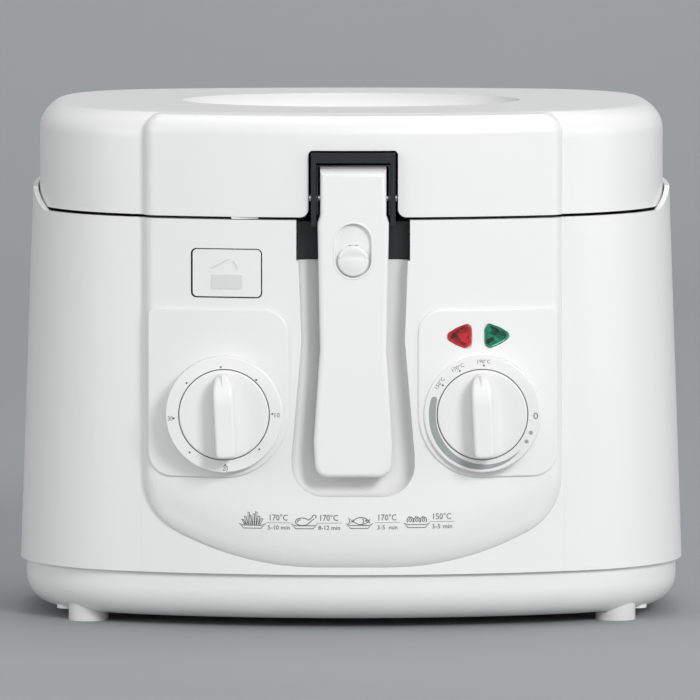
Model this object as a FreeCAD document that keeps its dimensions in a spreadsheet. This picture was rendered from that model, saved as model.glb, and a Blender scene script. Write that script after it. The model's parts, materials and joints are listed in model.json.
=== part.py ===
import FreeCAD, Part
import Sketcher
import math
import os

V = FreeCAD.Vector

# Sizes in millimetres: every driving dimension, written once.
SIZES = {
    # Housing plan and levels
    "body_width": 336.0,
    "rim_width": 322.8,
    "front_reach": 116.0,
    "front_draft": 1.5,
    "rear_reach": 130.0,
    "rear_draft": 3.0,
    "front_bow": 295.0,
    "side_bow": 650.0,
    "rear_bow": 500.0,
    "front_corner": 88.0,
    "rear_corner": 70.0,
    "base_seam": 28.0,
    "rim_height": 206.1,
    "side_rim_rise": 10.5,
    "rise_start": 46.0,
    "rise_end": 18.0,
    "wall": 2.5,
    "fit_gap": 0.4,
    "press_gap": 0.05,
    "turn_gap": 0.3,
    "lug_length": 60.0,
    "lug_width": 16.0,
    "lug_tall": 14.0,
    "lug_inset": 25.0,
    "lug_shift": 22.0,
    "lug_spread": 45.0,
    # Base tray and feet
    "base_bottom": 4.6,
    "base_inset": 3.0,
    "base_edge": 15.0,
    "foot_radius": 10.0,
    "foot_span": 266.0,
    "foot_front": 58.0,
    "foot_rear": 70.0,
    "screw_radius": 2.0,
    "screw_head": 3.6,
    "screw_head_tall": 2.4,
    "screw_sink": 0.6,
    "screw_bite": 12.0,
    # Front panel
    "panel_width": 212.0,
    "seam_gap": 0.2,
    "tongue_reach": 10.0,
    "bulge": 6.0,
    "bulge_edge": 10.0,
    "bulge_width": 210.0,
    "shield_bottom": 30.9,
    "shield_flat": 36.0,
    "shield_arc": 150.0,
    "shield_corner": 32.0,
    "plate_rise": 1.4,
    "plate_top": 161.6,
    "plate_bottom": 76.9,
    "plate_inner": 32.3,
    "plate_corner": 12.0,
    "plate_edge_corner": 4.0,
    "boss_radius": 29.2,
    "boss_rise": 1.0,
    "boss_deep": 22.0,
    "dial_offset": 64.5,
    "dial_height": 109.1,
    "groove_floor": 109.0,
    "groove_width": 54.7,
    "groove_foot": 61.6,
    "groove_bottom": 67.7,
    "groove_corner": 16.0,
    "groove_waist": 145.6,
    "groove_neck": 51.7,
    "groove_swell": 88.0,
    "groove_fillet": 9.0,
    # Lid
    "lid_gap": 1.5,
    "lid_top": 258.6,
    "lid_width": 316.0,
    "lid_edge": 13.0,
    "lid_wall": 2.5,
    "lid_rear_step": 6.5,
    "brow_drop": 0.6,
    "notch_back": 78.0,
    "arm_root": 12.0,
    "arm_gap": 0.6,
    "liner_lap": 4.0,
    "seal_outside": 3.0,
    "seal_inside": 2.0,
    "filter_width": 80.0,
    "filter_deep": 14.0,
    "filter_tall": 12.0,
    "filter_gap": 2.0,
    "catch_thick": 3.5,
    "catch_gap": 1.5,
    "catch_drop": 12.0,
    "notch_width": 44.7,
    "notch_top": 240.9,
    "recess_width": 171.5,
    "recess_depth_front": 115.0,
    "recess_drop": 7.0,
    "recess_centre": 8.0,
    "glass_thick": 3.0,
    "glass_lip": 8.0,
    # Hinge
    "hinge_reach": 3.0,
    "hinge_radius": 5.0,
    "pin_radius": 2.0,
    "knuckle_gap": 0.5,
    "lid_knuckle": 26.0,
    "lid_knuckle_offset": 58.0,
    "body_knuckle": 14.0,
    # Handle and bracket
    "pivot_height": 217.1,
    "pivot_y": 115.0,
    "handle_top": 233.4,
    "handle_bottom": 77.6,
    "handle_front": 126.0,
    "handle_thick": 13.0,
    "handle_width": 33.0,
    "handle_foot": 39.5,
    "handle_corner": 6.5,
    "handle_edge": 2.5,
    "handle_shoulder": 35.6,
    "handle_waist": 33.1,
    "handle_swell": 95.0,
    "handle_neck": 141.4,
    "handle_cover": 4.0,
    "cover_drop": 9.0,
    "shoulder_drop": 1.0,
    "shoulder_rise": 4.0,
    "heel_taper": 1.0,
    "slot_width": 18.0,
    "slot_length": 27.0,
    "slot_centre": 191.3,
    "slot_depth": 2.5,
    "lock_radius": 7.8,
    "lock_travel": 10.0,
    "lock_gap": 0.6,
    "lock_lift": 0.2,
    "lock_proud": 0.6,
    "stem_start": 1.0,
    "stem_lap": 0.3,
    "bolt_width": 12.0,
    "bolt_thick": 2.4,
    "bolt_length": 26.0,
    "bolt_drop": 12.0,
    "bolt_gap": 1.0,
    "bolt_room": 4.0,
    "cheek": 2.6,
    "cheek_gap": 2.0,
    "bracket_width": 56.0,
    "bracket_bottom": 186.3,
    "bracket_back": 94.0,
    "bracket_step": 2.5,
    "bracket_seat": 1.0,
    "bracket_plate": 4.0,
    "bracket_room": 10.0,
    "saddle_gap": 1.2,
    "saddle_lap": 2.0,
    "bar_gap": 1.5,
    "hanger_wire": 4.0,
    "hanger_lap": 4.0,
    "pin_proud": 0.8,
    "crossbar": 5.0,
    "pivot_pin": 2.0,
    # Knobs
    "knob_radius": 22.4,
    "knob_gap": 0.5,
    "knob_face": 1.2,
    "knob_disc": 5.0,
    "grip_width": 10.5,
    "grip_length": 42.0,
    "pointer_length": 16.0,
    "pointer_drop": 7.0,
    "pointer_lean": 30.0,
    "shaft_radius": 3.0,
    "shaft_inside": 5.0,
    "shaft_reach": 6.0,
    "shaft_gap": 1.0,
    "grip_root": 1.0,
    "bore_deep": 8.0,
    # Release button and latch
    "button_x": 63.2,
    "button_height": 179.3,
    "button_width": 34.6,
    "button_tall": 23.8,
    "button_corner": 2.2,
    "button_gap": 0.5,
    "button_travel": 4.0,
    "latch_x": 54.0,
    "latch_width": 13.5,
    "latch_room": 30.0,
    "latch_room_side": 8.0,
    "latch_room_deep": 14.0,
    "button_rise": 0.5,
    "button_deep": 12.0,
    "hook_stem": 8.0,
    "hook_thick": 3.0,
    "hook_gap": 4.5,
    "hook_clear": 3.0,
    "spring_side": 12.0,
    "spring_radius": 4.0,
    "spring_wire": 0.5,
    "spring_length": 10.0,
    "seat_width": 11.0,
    "seat_thick": 3.0,
    "seat_tall": 14.0,
    "seat_drop": 16.0,
    "seat_run": 16.0,
    # Lamps
    "lamp_height": 147.8,
    "red_x": 51.6,
    "green_x": 73.0,
    "lamp_size": 14.6,
    "lamp_corner": 2.4,
    "lamp_swell": 0.7,
    "lens_rise": 0.4,
    "lens_deep": 13.0,
    "lamp_length": 14.0,
    # Pot and basket
    "pot_width": 206.0,
    "pot_depth": 156.0,
    "pot_corner": 42.0,
    "pot_wall": 1.6,
    "pot_deep": 120.0,
    "pot_bend": 12.0,
    "pot_flange": 7.0,
    "pot_centre": 16.0,
    "pot_gap": 0.5,
    "collar_height": 197.6,
    "collar_thick": 3.0,
    "basket_width": 180.0,
    "basket_depth": 128.0,
    "basket_corner": 32.0,
    "basket_tall": 88.0,
    "basket_floor": 101.6,
    "basket_wire": 1.6,
    "rim_wire": 2.2,
    "mesh_pitch": 14.0,
    "mesh_bar": 2.6,
    "mesh_start": 5.0,
    "mesh_margin": 14.0,
    "floor_margin": 24.0,
    # Heater and shield
    "element_radius": 4.0,
    "element_leg": 26.0,
    "element_pitch": 28.0,
    "shield_gap": 14.0,
    "shield_thick": 1.0,
    "pan_spread": 10.0,
    "pan_corner": 8.0,
    "pan_tall": 30.0,
    "heat_post": 4.0,
    "fuse_length": 24.0,
    "fuse_width": 10.0,
    "fuse_tall": 8.0,
    "fuse_x": 40.0,
    "bulb_radius": 3.0,
    "bulb_length": 60.0,
    # Controls behind the panel
    "control_width": 44.0,
    "control_deep": 26.0,
    "control_setback": 16.5,
    "neck_length": 7.5,
    "lamp_radius": 3.0,
    # Rear services
    "gland_x": 95.0,
    "gland_height": 55.0,
    "gland_radius": 9.0,
    "cord_radius": 3.6,
    "gland_length": 30.0,
    "gland_inside": 26.0,
    "terminal_width": 34.0,
    "terminal_deep": 16.0,
    "terminal_tall": 14.0,
    "terminal_side": 4.0,
    "terminal_inset": 40.0,
}

doc = FreeCAD.newDocument("DeepFryer")
sheet = doc.addObject("Spreadsheet::Sheet", "Sizes")
for row, (alias, value) in enumerate(SIZES.items(), start=1):
    sheet.set("A%d" % row, alias)
    sheet.set("B%d" % row, "%g" % value)
    sheet.setAlias("B%d" % row, alias)
doc.recompute()


class Size:
    """A length with its value and the sheet formula that gives it."""

    def __init__(self, value, text):
        self.value = float(value)
        self.text = text

    def __add__(self, other):
        other = size(other)
        return Size(self.value + other.value, "(%s + %s)" % (self.text, other.text))

    def __radd__(self, other):
        return size(other) + self

    def __sub__(self, other):
        other = size(other)
        return Size(self.value - other.value, "(%s - %s)" % (self.text, other.text))

    def __rsub__(self, other):
        return size(other) - self

    def __mul__(self, other):
        other = size(other)
        return Size(self.value * other.value, "(%s * %s)" % (self.text, other.text))

    __rmul__ = __mul__

    def __truediv__(self, other):
        other = size(other)
        return Size(self.value / other.value, "(%s / %s)" % (self.text, other.text))

    def __neg__(self):
        return Size(-self.value, "(0 - %s)" % self.text)


def size(number):
    """Return a Size for a plain number, or the Size itself."""
    if isinstance(number, Size):
        return number
    return Size(number, "(%r)" % float(number))


class Sheet:
    """Sizes read from the sheet by name."""

    def __getattr__(self, alias):
        return Size(sheet.get(alias), "Sizes." + alias)


S = Sheet()
NO_GROWTH = size(0)
PARTS = []


def bind(item, prop, length):
    """Tie a property of an object to a size."""
    item.setExpression(prop, size(length).text)


def place(item, x=None, y=None, z=None):
    """Tie the position of an object to sizes."""
    for axis, length in (("x", x), ("y", y), ("z", z)):
        if length is not None:
            bind(item, "Placement.Base." + axis, length)
    return item


def part(item, label):
    """Enter an object in the list of pieces that are written out."""
    item.Label = label
    PARTS.append(item)
    return item


def new_body(name):
    return doc.addObject("PartDesign::Body", name)


def new_sketch(body, name, plane, offset=None, across=None, up=None):
    """Add a sketch on an origin plane of the body, moved by sizes."""
    sketch = body.newObject("Sketcher::SketchObject", name)
    support = [item for item in body.Origin.OriginFeatures if item.Role == plane][0]
    sketch.AttachmentSupport = [(support, "")]
    sketch.MapMode = "FlatFace"
    for axis, length in (("x", across), ("y", up), ("z", offset)):
        if length is not None:
            bind(sketch, "AttachmentOffset.Base." + axis, length)
    return sketch


def tie(sketch, name, length, *rule):
    """Add a dimension to the sketch and bind it to a size."""
    index = sketch.addConstraint(Sketcher.Constraint(*rule, abs(size(length).value)))
    sketch.renameConstraint(index, name)
    bind(sketch, "Constraints." + name, length)


def rule(sketch, *words):
    return sketch.addConstraint(Sketcher.Constraint(*words))


def rectangle(sketch, width, height, corner=None):
    """Draw a rectangle centred on the sketch origin, with round corners if asked."""
    w, h = size(width).value / 2, size(height).value / 2
    r = corner.value if corner is not None else 0.0
    if corner is None:
        points = [V(-w, -h), V(w, -h), V(w, h), V(-w, h)]
        for index in range(4):
            sketch.addGeometry(Part.LineSegment(points[index], points[(index + 1) % 4]))
        for index in range(4):
            rule(sketch, "Coincident", index, 2, (index + 1) % 4, 1)
        low, right, top, left = 0, 1, 2, 3
    else:
        ends = [
            (V(-w + r, -h), V(w - r, -h)), (V(w, -h + r), V(w, h - r)),
            (V(w - r, h), V(-w + r, h)), (V(-w, h - r), V(-w, -h + r)),
        ]
        centres = [V(w - r, -h + r), V(w - r, h - r), V(-w + r, h - r), V(-w + r, -h + r)]
        for index in range(4):
            sketch.addGeometry(Part.LineSegment(*ends[index]))
            bend = Part.Circle(centres[index], V(0, 0, 1), r)
            first = (index - 1) * math.pi / 2
            sketch.addGeometry(Part.ArcOfCircle(bend, first, first + math.pi / 2))
        for index in range(4):
            rule(sketch, "Tangent", 2 * index, 2, 2 * index + 1, 1)
            rule(sketch, "Tangent", 2 * index + 1, 2, (2 * index + 2) % 8, 1)
        tie(sketch, "corner_radius", corner, "Radius", 1)
        for index in (3, 5, 7):
            rule(sketch, "Equal", 1, index)
        low, right, top, left = 0, 2, 4, 6
    rule(sketch, "Horizontal", low)
    rule(sketch, "Vertical", right)
    if corner is None:
        rule(sketch, "Horizontal", top)
        rule(sketch, "Vertical", left)
    tie(sketch, "half_left", width / 2, "Distance", -1, 1, left)
    tie(sketch, "half_right", width / 2, "Distance", -1, 1, right)
    tie(sketch, "half_low", height / 2, "Distance", -1, 1, low)
    tie(sketch, "half_high", height / 2, "Distance", -1, 1, top)


def polygon(sketch, points):
    """Draw a closed outline of straight lines through points given as pairs of sizes."""
    spots = [(size(across), size(up)) for across, up in points]
    count = len(spots)
    for index in range(count):
        here, after = spots[index], spots[(index + 1) % count]
        sketch.addGeometry(Part.LineSegment(
            V(here[0].value, here[1].value), V(after[0].value, after[1].value)))
    for index in range(count):
        rule(sketch, "Coincident", index, 2, (index + 1) % count, 1)
    for index, (across, up) in enumerate(spots):
        for word, length in (("DistanceX", across), ("DistanceY", up)):
            name = "%s_%d" % (word.lower(), index)
            if abs(length.value) < 1e-9:
                line = -2 if word == "DistanceX" else -1
                rule(sketch, "PointOnObject", index, 1, line)
            elif length.value > 0:
                tie(sketch, name, length, word, -1, 1, index, 1)
            else:
                tie(sketch, name, -length, word, index, 1, -1, 1)


def corner_centre(bow_x, bow_y, bow_r, side_x, side_y, side_r, r, sign_y):
    """Centre of the arc of radius r inside a bow and a side arc."""
    first, second = bow_r - r, side_r - r
    dx, dy = side_x - bow_x, side_y - bow_y
    gap = math.hypot(dx, dy)
    along = (first ** 2 - second ** 2 + gap ** 2) / (2 * gap)
    off = math.sqrt(first ** 2 - along ** 2)
    spots = []
    for turn in (1, -1):
        x = bow_x + along * dx / gap - turn * off * dy / gap
        y = bow_y + along * dy / gap + turn * off * dx / gap
        spots.append((x, y))
    spots = [spot for spot in spots if spot[0] > 0]
    return max(spots, key=lambda spot: sign_y * spot[1])


def outline(sketch, half, front, rear, inset=0.0):
    """Draw the plan outline of the fryer as eight arcs.

    half is the half width, front and rear are the reaches of the two bows.
    """
    half, front, rear = half - inset, front - inset, rear - inset
    bow, back, side = S.front_bow - inset, S.rear_bow - inset, S.side_bow - inset
    near, far = S.front_corner - inset, S.rear_corner - inset
    bow_y, back_y = bow.value - front.value, rear.value - back.value
    side_x = half.value - side.value
    fx, fy = corner_centre(0, bow_y, bow.value, side_x, 0, side.value, near.value, -1)
    bx, by = corner_centre(0, back_y, back.value, side_x, 0, side.value, far.value, 1)
    spots = [
        (0.0, bow_y, bow), (fx, fy, near), (side_x, 0.0, side), (bx, by, far),
        (0.0, back_y, back), (-bx, by, far), (-side_x, 0.0, side), (-fx, fy, near),
    ]

    def joint(a, b):
        """Angle of the common tangent point of two arcs."""
        large, small = (a, b) if a[2].value > b[2].value else (b, a)
        return math.atan2(small[1] - large[1], small[0] - large[0])

    angles = [joint(spots[i], spots[(i + 1) % 8]) for i in range(8)]
    for index, (x, y, r) in enumerate(spots):
        start, stop = angles[index - 1], angles[index]
        ring = Part.Circle(V(x, y, 0), V(0, 0, 1), r.value)
        if stop < start:
            stop += 2 * math.pi
        sketch.addGeometry(Part.ArcOfCircle(ring, start, stop))
    for index in range(8):
        rule(sketch, "Tangent", index, 2, (index + 1) % 8, 1)
    for index, (x, y, r) in enumerate(spots):
        tie(sketch, "radius_%d" % index, r, "Radius", index)
    for index in (0, 4):
        rule(sketch, "PointOnObject", index, 3, -2)
    tie(sketch, "front_centre", bow - front, "DistanceY", -1, 1, 0, 3)
    tie(sketch, "rear_centre", back - rear, "DistanceY", 4, 3, -1, 1)
    for index in (2, 6):
        rule(sketch, "PointOnObject", index, 3, -1)
    tie(sketch, "right_centre", side - half, "DistanceX", 2, 3, -1, 1)
    tie(sketch, "left_centre", side - half, "DistanceX", -1, 1, 6, 3)


def loft(body, name, low, high, kind="PartDesign::AdditiveLoft"):
    feature = body.newObject(kind, name)
    feature.Profile = low
    feature.Sections = [high]
    feature.Ruled = True
    return feature


def pad(body, name, sketch, length, kind="PartDesign::Pad", reverse=False):
    """Pad or pocket a sketch by a size."""
    feature = body.newObject(kind, name)
    feature.Profile = sketch
    bind(feature, "Length", length)
    feature.Reversed = reverse
    return feature


def cut_all(body, name, sketch):
    """Pocket a sketch through everything on both sides."""
    feature = body.newObject("PartDesign::Pocket", name)
    feature.Profile = sketch
    feature.Type = "ThroughAll"
    feature.SideType = "Two sides"
    feature.Type2 = "ThroughAll"
    return feature


def fillet(body, name, radius, chosen, kind="PartDesign::Fillet", prop="Radius"):
    """Round the edges of the last feature that the test picks."""
    doc.recompute()
    base = body.Tip
    names = []
    for index, edge in enumerate(base.Shape.Edges, start=1):
        if chosen(edge):
            names.append("Edge%d" % index)
    if not names:
        raise RuntimeError("no edge for " + name)
    feature = body.newObject(kind, name)
    feature.Base = (base, names)
    bind(feature, prop, radius)
    doc.recompute()
    return feature


def level(edge, height, tol=0.05):
    """True for an edge that lies at a height."""
    box = edge.BoundBox
    return abs(box.ZMin - height) < tol and abs(box.ZMax - height) < tol


def box(name, width, depth, height, x, y, z):
    """A block centred on x and y, standing on z."""
    item = doc.addObject("Part::Box", name)
    bind(item, "Length", width)
    bind(item, "Width", depth)
    bind(item, "Height", height)
    place(item, size(x) - size(width) / 2, size(y) - size(depth) / 2, z)
    return item


def rod(name, radius, length, x, y, z, axis="z"):
    """A cylinder that starts at a point and runs along an axis of the frame."""
    item = doc.addObject("Part::Cylinder", name)
    bind(item, "Radius", radius)
    bind(item, "Height", length)
    turns = {
        "z": FreeCAD.Rotation(), "x": FreeCAD.Rotation(V(0, 1, 0), 90),
        "y": FreeCAD.Rotation(V(1, 0, 0), -90), "-y": FreeCAD.Rotation(V(1, 0, 0), 90),
    }
    item.Placement = FreeCAD.Placement(V(), turns[axis])
    place(item, x, y, z)
    return item


def fuse(name, *items):
    item = doc.addObject("Part::MultiFuse", name)
    item.Shapes = list(items)
    item.Refine = True
    return item


def group(name, *items):
    """Several separate solids as one piece."""
    item = doc.addObject("Part::Compound", name)
    item.Links = list(items)
    return item


def cut(name, base, *tools):
    """Take one or more objects away from a base."""
    item = doc.addObject("Part::Cut", name)
    item.Base = base
    item.Tool = tools[0] if len(tools) == 1 else fuse(name + "_tools", *tools)
    item.Refine = True
    return item


def common(name, first, second):
    item = doc.addObject("Part::Common", name)
    item.Base = first
    item.Tool = second
    item.Refine = True
    return item


def fryer_form(name, low, high, inset=0.0, forward=0.0, spare=0.0):
    """Solid of the housing plan between two heights.

    inset draws it in all round, forward moves only the front bow.
    """
    body = new_body(name)
    first = new_sketch(body, name + "_low", "XY_Plane", low - spare)
    outline(first, S.body_width / 2, S.front_reach + forward, S.rear_reach, inset)
    second = new_sketch(body, name + "_high", "XY_Plane", high + spare)
    outline(second, S.rim_width / 2, S.front_reach - S.front_draft + forward,
            S.rear_reach - S.rear_draft, inset)
    loft(body, name + "_loft", first, second)
    return body


side_rim = S.rim_height + S.side_rim_rise
hinge_y = S.rear_reach + S.hinge_reach
lid_rear = S.rear_reach - S.lid_rear_step

# Housing: bowed shell, open at the front for the panel, with a rim that rises along the sides
shell_outer = fryer_form("housing_outer", S.base_seam, side_rim)
inner_form = fryer_form("housing_inner_form", S.base_seam, side_rim, S.wall)
door = box("housing_door", S.panel_width + 2 * S.seam_gap, S.front_reach, side_rim, 0, -S.front_reach, 0)
step_body = new_body("housing_step")
step = new_sketch(step_body, "housing_step_side", "YZ_Plane", -S.body_width)
polygon(step, [
    (-2 * S.front_reach, S.rim_height), (-S.rise_start, S.rim_height), (-S.rise_end, side_rim),
    (-S.rise_end, side_rim + S.rise_end), (-2 * S.front_reach, side_rim + S.rise_end),
])
pad(step_body, "housing_low_front", step, 2 * S.body_width)
shell = cut("housing_shell", shell_outer, inner_form, door, step_body)
hinge_z = side_rim

# Hinge knuckles of the housing, outside the back wall
knuckle_x = S.lid_knuckle_offset - S.lid_knuckle / 2 - S.knuckle_gap - S.body_knuckle / 2


def body_knuckle(name, centre):
    foot = box(name + "_foot", S.body_knuckle, hinge_y - S.rear_reach + S.rear_corner / 2,
               S.hinge_radius, centre, (hinge_y + S.rear_reach - S.rear_corner / 2) / 2,
               hinge_z - S.hinge_radius)
    barrel = rod(name + "_barrel", S.hinge_radius, S.body_knuckle,
                 centre - S.body_knuckle / 2, hinge_y, hinge_z, "x")
    return fuse(name, foot, barrel)


knuckles = []
for tag, side in (("left", -1), ("right", 1)):
    for pair, spread in (("inner", 0), ("outer", 1)):
        offset = knuckle_x + spread * (S.lid_knuckle + S.body_knuckle + 2 * S.knuckle_gap)
        knuckles.append(body_knuckle("knuckle_%s_%s" % (tag, pair), side * offset))
knuckle_set = cut("housing_knuckles", fuse("housing_knuckle_set", *knuckles), inner_form)
pin_bore = rod("hinge_bore", S.pin_radius + S.press_gap, 2 * S.rear_reach, -S.rear_reach, hinge_y, hinge_z,
               "x")
gland_hole = rod("gland_hole", S.gland_radius, 3 * S.wall + S.rear_draft + S.gland_length,
                 S.gland_x, S.rear_reach - S.gland_length - S.rear_draft, S.gland_height, "y")
lug_x = S.body_width / 2 - S.lug_inset
lugs = []
for index, (x, y) in enumerate([(-1, -1), (1, -1), (-1, 1), (1, 1)]):
    lugs.append(box("lug_%d" % index, S.lug_length, S.lug_width, S.lug_tall, x * (lug_x + S.lug_shift),
                    y * S.lug_spread, S.base_seam))
outer_form = fryer_form("housing_outer_form", S.base_seam, side_rim, S.wall / 2)
lug_set = common("housing_lugs", fuse("housing_lug_set", *lugs), outer_form)
lug_bores = []
for index, (x, y) in enumerate([(-1, -1), (1, -1), (-1, 1), (1, 1)]):
    lug_bores.append(rod("lug_bore_%d" % index, S.screw_radius, S.screw_bite, x * lug_x, y * S.lug_spread,
                         S.base_seam, "z"))
housing_solid = cut("housing_solid", fuse("housing_joined", shell, knuckle_set, lug_set), pin_bore,
                    gland_hole, *lug_bores)
housing = part(housing_solid, "housing")

# Base tray
def tray(name, bottom, top, inset, edge):
    body = new_body(name)
    plan = new_sketch(body, name + "_plan", "XY_Plane", bottom)
    outline(plan, S.body_width / 2, S.front_reach, S.rear_reach, inset)
    pad(body, name + "_pad", plan, top - bottom)
    fillet(body, name + "_edge", edge, lambda e: level(e, bottom.value))
    return body


tray_outer = tray("tray_outer", S.base_bottom, S.base_seam - S.fit_gap, S.base_inset, S.base_edge)
tray_inner = tray("tray_inner", S.base_bottom + S.wall, S.base_seam + S.wall,
                  S.base_inset + S.wall, S.base_edge - S.wall)
spots = [(x, y) for y in (-1, 1) for x in (-1, 1)]
foot_list, screw_list, screw_holes = [], [], []
for index, (x, y) in enumerate(spots):
    fx = x * S.foot_span / 2
    fy = -S.foot_front if y < 0 else S.foot_rear
    foot_rod = rod("foot_rod_%d" % index, S.foot_radius, S.base_bottom + S.base_edge / 2, fx, fy, 0, "z")
    foot_list.append(cut("foot_%d" % index, foot_rod, tray_outer))
posts_list = []
for index, (x, y) in enumerate(spots):
    screw_x, screw_y = x * lug_x, y * S.lug_spread
    screw_low = S.base_bottom + S.screw_sink
    posts_list.append(rod("tray_post_%d" % index, S.screw_head + S.wall,
                          S.base_seam - S.fit_gap - S.base_bottom, screw_x, screw_y, S.base_bottom, "z"))
    head = rod("screw_head_%d" % index, S.screw_head, S.screw_head_tall, screw_x, screw_y, screw_low, "z")
    shank = rod("screw_shank_%d" % index, S.screw_radius, S.base_seam + S.screw_bite - screw_low, screw_x,
                screw_y, screw_low, "z")
    screw_list.append(fuse("screw_%d" % index, head, shank))
    screw_holes.append(rod("screw_sink_%d" % index, S.screw_head, S.screw_sink + S.screw_head_tall, screw_x,
                           screw_y, S.base_bottom, "z"))
    screw_holes.append(rod("screw_bore_%d" % index, S.screw_radius, S.base_seam, screw_x, screw_y,
                           S.base_bottom, "z"))
tray_body = fuse("tray_sum", cut("tray_hollow", tray_outer, tray_inner), *posts_list)
part(cut("tray_cut", tray_body, *screw_holes), "base_tray")
part(group("feet_set", *foot_list), "feet")
part(group("screw_set", *screw_list), "base_screws")

# Front panel: skirt strip of the shell, shield, control plates, dial bosses and handle groove
strip = cut("panel_strip", fryer_form("panel_strip_outer", S.base_seam, side_rim), inner_form)
panel_zone = box("panel_zone", S.panel_width, S.front_reach, S.rim_height, 0, -S.front_reach, 0)
skirt = common("panel_skirt", strip, panel_zone)


def shield_prism(name, width, low, corner, arc, flat, top, depth, centre):
    """Shield outline seen from the front, pushed along the depth."""
    body = new_body(name)
    sketch = new_sketch(body, name + "_front", "XZ_Plane", -centre - depth / 2)
    half, straight = width / 2, flat / 2
    reach = arc - corner
    offset = half - corner - straight
    drop = math.sqrt(reach.value ** 2 - offset.value ** 2)
    side_z = low.value + arc.value - drop
    tilt = math.atan2(-drop, offset.value)
    h, f, b, t = half.value, straight.value, low.value, top.value
    r, a = corner.value, arc.value
    ring = V(0, 0, 1)
    sketch.addGeometry(Part.LineSegment(V(-f, b), V(f, b)))
    sketch.addGeometry(Part.ArcOfCircle(Part.Circle(V(f, b + a), ring, a), -math.pi / 2, tilt))
    sketch.addGeometry(Part.ArcOfCircle(Part.Circle(V(h - r, side_z), ring, r), tilt, 0))
    sketch.addGeometry(Part.LineSegment(V(h, side_z), V(h, t)))
    sketch.addGeometry(Part.LineSegment(V(h, t), V(-h, t)))
    sketch.addGeometry(Part.LineSegment(V(-h, t), V(-h, side_z)))
    sketch.addGeometry(Part.ArcOfCircle(
        Part.Circle(V(-h + r, side_z), ring, r), math.pi, math.pi - tilt))
    sketch.addGeometry(Part.ArcOfCircle(
        Part.Circle(V(-f, b + a), ring, a), math.pi - tilt, 1.5 * math.pi))
    for first, second in ((0, 1), (1, 2), (2, 3), (5, 6), (6, 7), (7, 0)):
        rule(sketch, "Tangent", first, 2, second, 1)
    rule(sketch, "Coincident", 3, 2, 4, 1)
    rule(sketch, "Coincident", 4, 2, 5, 1)
    rule(sketch, "Horizontal", 0)
    rule(sketch, "Horizontal", 4)
    rule(sketch, "Vertical", 3)
    rule(sketch, "Vertical", 5)
    tie(sketch, "low_edge", low, "DistanceY", -1, 1, 0, 1)
    tie(sketch, "high_edge", top, "DistanceY", -1, 1, 4, 1)
    tie(sketch, "right_edge", half, "DistanceX", -1, 1, 3, 2)
    tie(sketch, "left_edge", half, "DistanceX", 5, 1, -1, 1)
    tie(sketch, "flat_right", straight, "DistanceX", -1, 1, 0, 2)
    tie(sketch, "flat_left", straight, "DistanceX", 0, 1, -1, 1)
    tie(sketch, "arc_right", arc, "Radius", 1)
    tie(sketch, "arc_left", arc, "Radius", 7)
    tie(sketch, "corner_right", corner, "Radius", 2)
    tie(sketch, "corner_left", corner, "Radius", 6)
    pad(body, name + "_pad", sketch, depth)
    return body


proud = fryer_form("shield_form", S.base_seam, side_rim, 0.0, S.bulge)
prism = shield_prism("shield_prism", S.bulge_width, S.shield_bottom, S.shield_corner, S.shield_arc,
                     S.shield_flat, S.rim_height, S.front_reach, -S.front_reach)
shield_block = common("shield_block", proud, prism)


def rounded(name, base, radius, chosen):
    """Round the picked edges of a solid by a size."""
    doc.recompute()
    picked = []
    for index, edge in enumerate(base.Shape.Edges, start=1):
        if chosen(edge):
            picked.append((index, radius.value, radius.value))
    if not picked:
        raise RuntimeError("no edge for " + name)
    item = doc.addObject("Part::Fillet", name)
    item.Base = base
    item.Edges = picked
    doc.recompute()
    return item


def touches_front(edge, lip, top=None):
    """True for an edge that lies on the bowed front of a block, clear of its top."""
    for point in edge.discretize(5):
        bow_y = S.front_bow.value - S.front_reach.value
        radial = math.hypot(point.x, point.y - bow_y)
        want = S.front_bow.value + lip
        if abs(radial - want) > S.front_draft.value + 0.3:
            return False
    if top is not None and edge.BoundBox.ZMin > top - 0.1:
        return False
    return True


shield = rounded("shield", shield_block, S.bulge_edge,
                 lambda e: touches_front(e, S.bulge.value, S.rim_height.value))

plate_form = fryer_form("plate_form", S.base_seam, side_rim, 0.0, S.bulge + S.plate_rise)
plates = []
for tag, side in (("left", -1), ("right", 1)):
    outer = S.bulge_width / 2 - S.bulge_edge / 4
    width = outer - S.plate_inner
    middle = (outer + S.plate_inner) / 2
    body = new_body("plate_%s_prism" % tag)
    sketch = new_sketch(body, "plate_%s_front" % tag, "XZ_Plane", S.front_reach / 2,
                        across=side * middle, up=(S.plate_top + S.plate_bottom) / 2)
    rectangle(sketch, width, S.plate_top - S.plate_bottom)
    pad(body, "plate_%s_pad" % tag, sketch, S.front_reach)
    inner_x, outer_x = side * S.plate_inner.value, side * outer.value
    dial_arc = S.dial_offset - S.plate_inner
    for spot, across, up, radius in (
            ("dial", inner_x, S.plate_bottom, dial_arc), ("top", inner_x, S.plate_top, S.plate_corner),
            ("heel", outer_x, S.plate_bottom, S.plate_corner),
            ("brow", outer_x, S.plate_top, S.plate_edge_corner)):
        fillet(body, "plate_%s_%s" % (tag, spot), radius,
               lambda e: e.BoundBox.YLength > 1 and abs(e.BoundBox.XMin - across) < 0.1
               and abs(e.BoundBox.ZMin - up.value) < 0.1 and e.BoundBox.XLength < 0.1)
    block = common("plate_%s_block" % tag, plate_form, body)
    plates.append(rounded("plate_%s" % tag, block, S.plate_rise * 0.8,
                          lambda e: touches_front(e, S.bulge.value + S.plate_rise.value)))
boss_front = S.front_reach + S.bulge - S.front_draft / 2 + S.boss_rise
bosses = []
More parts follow.
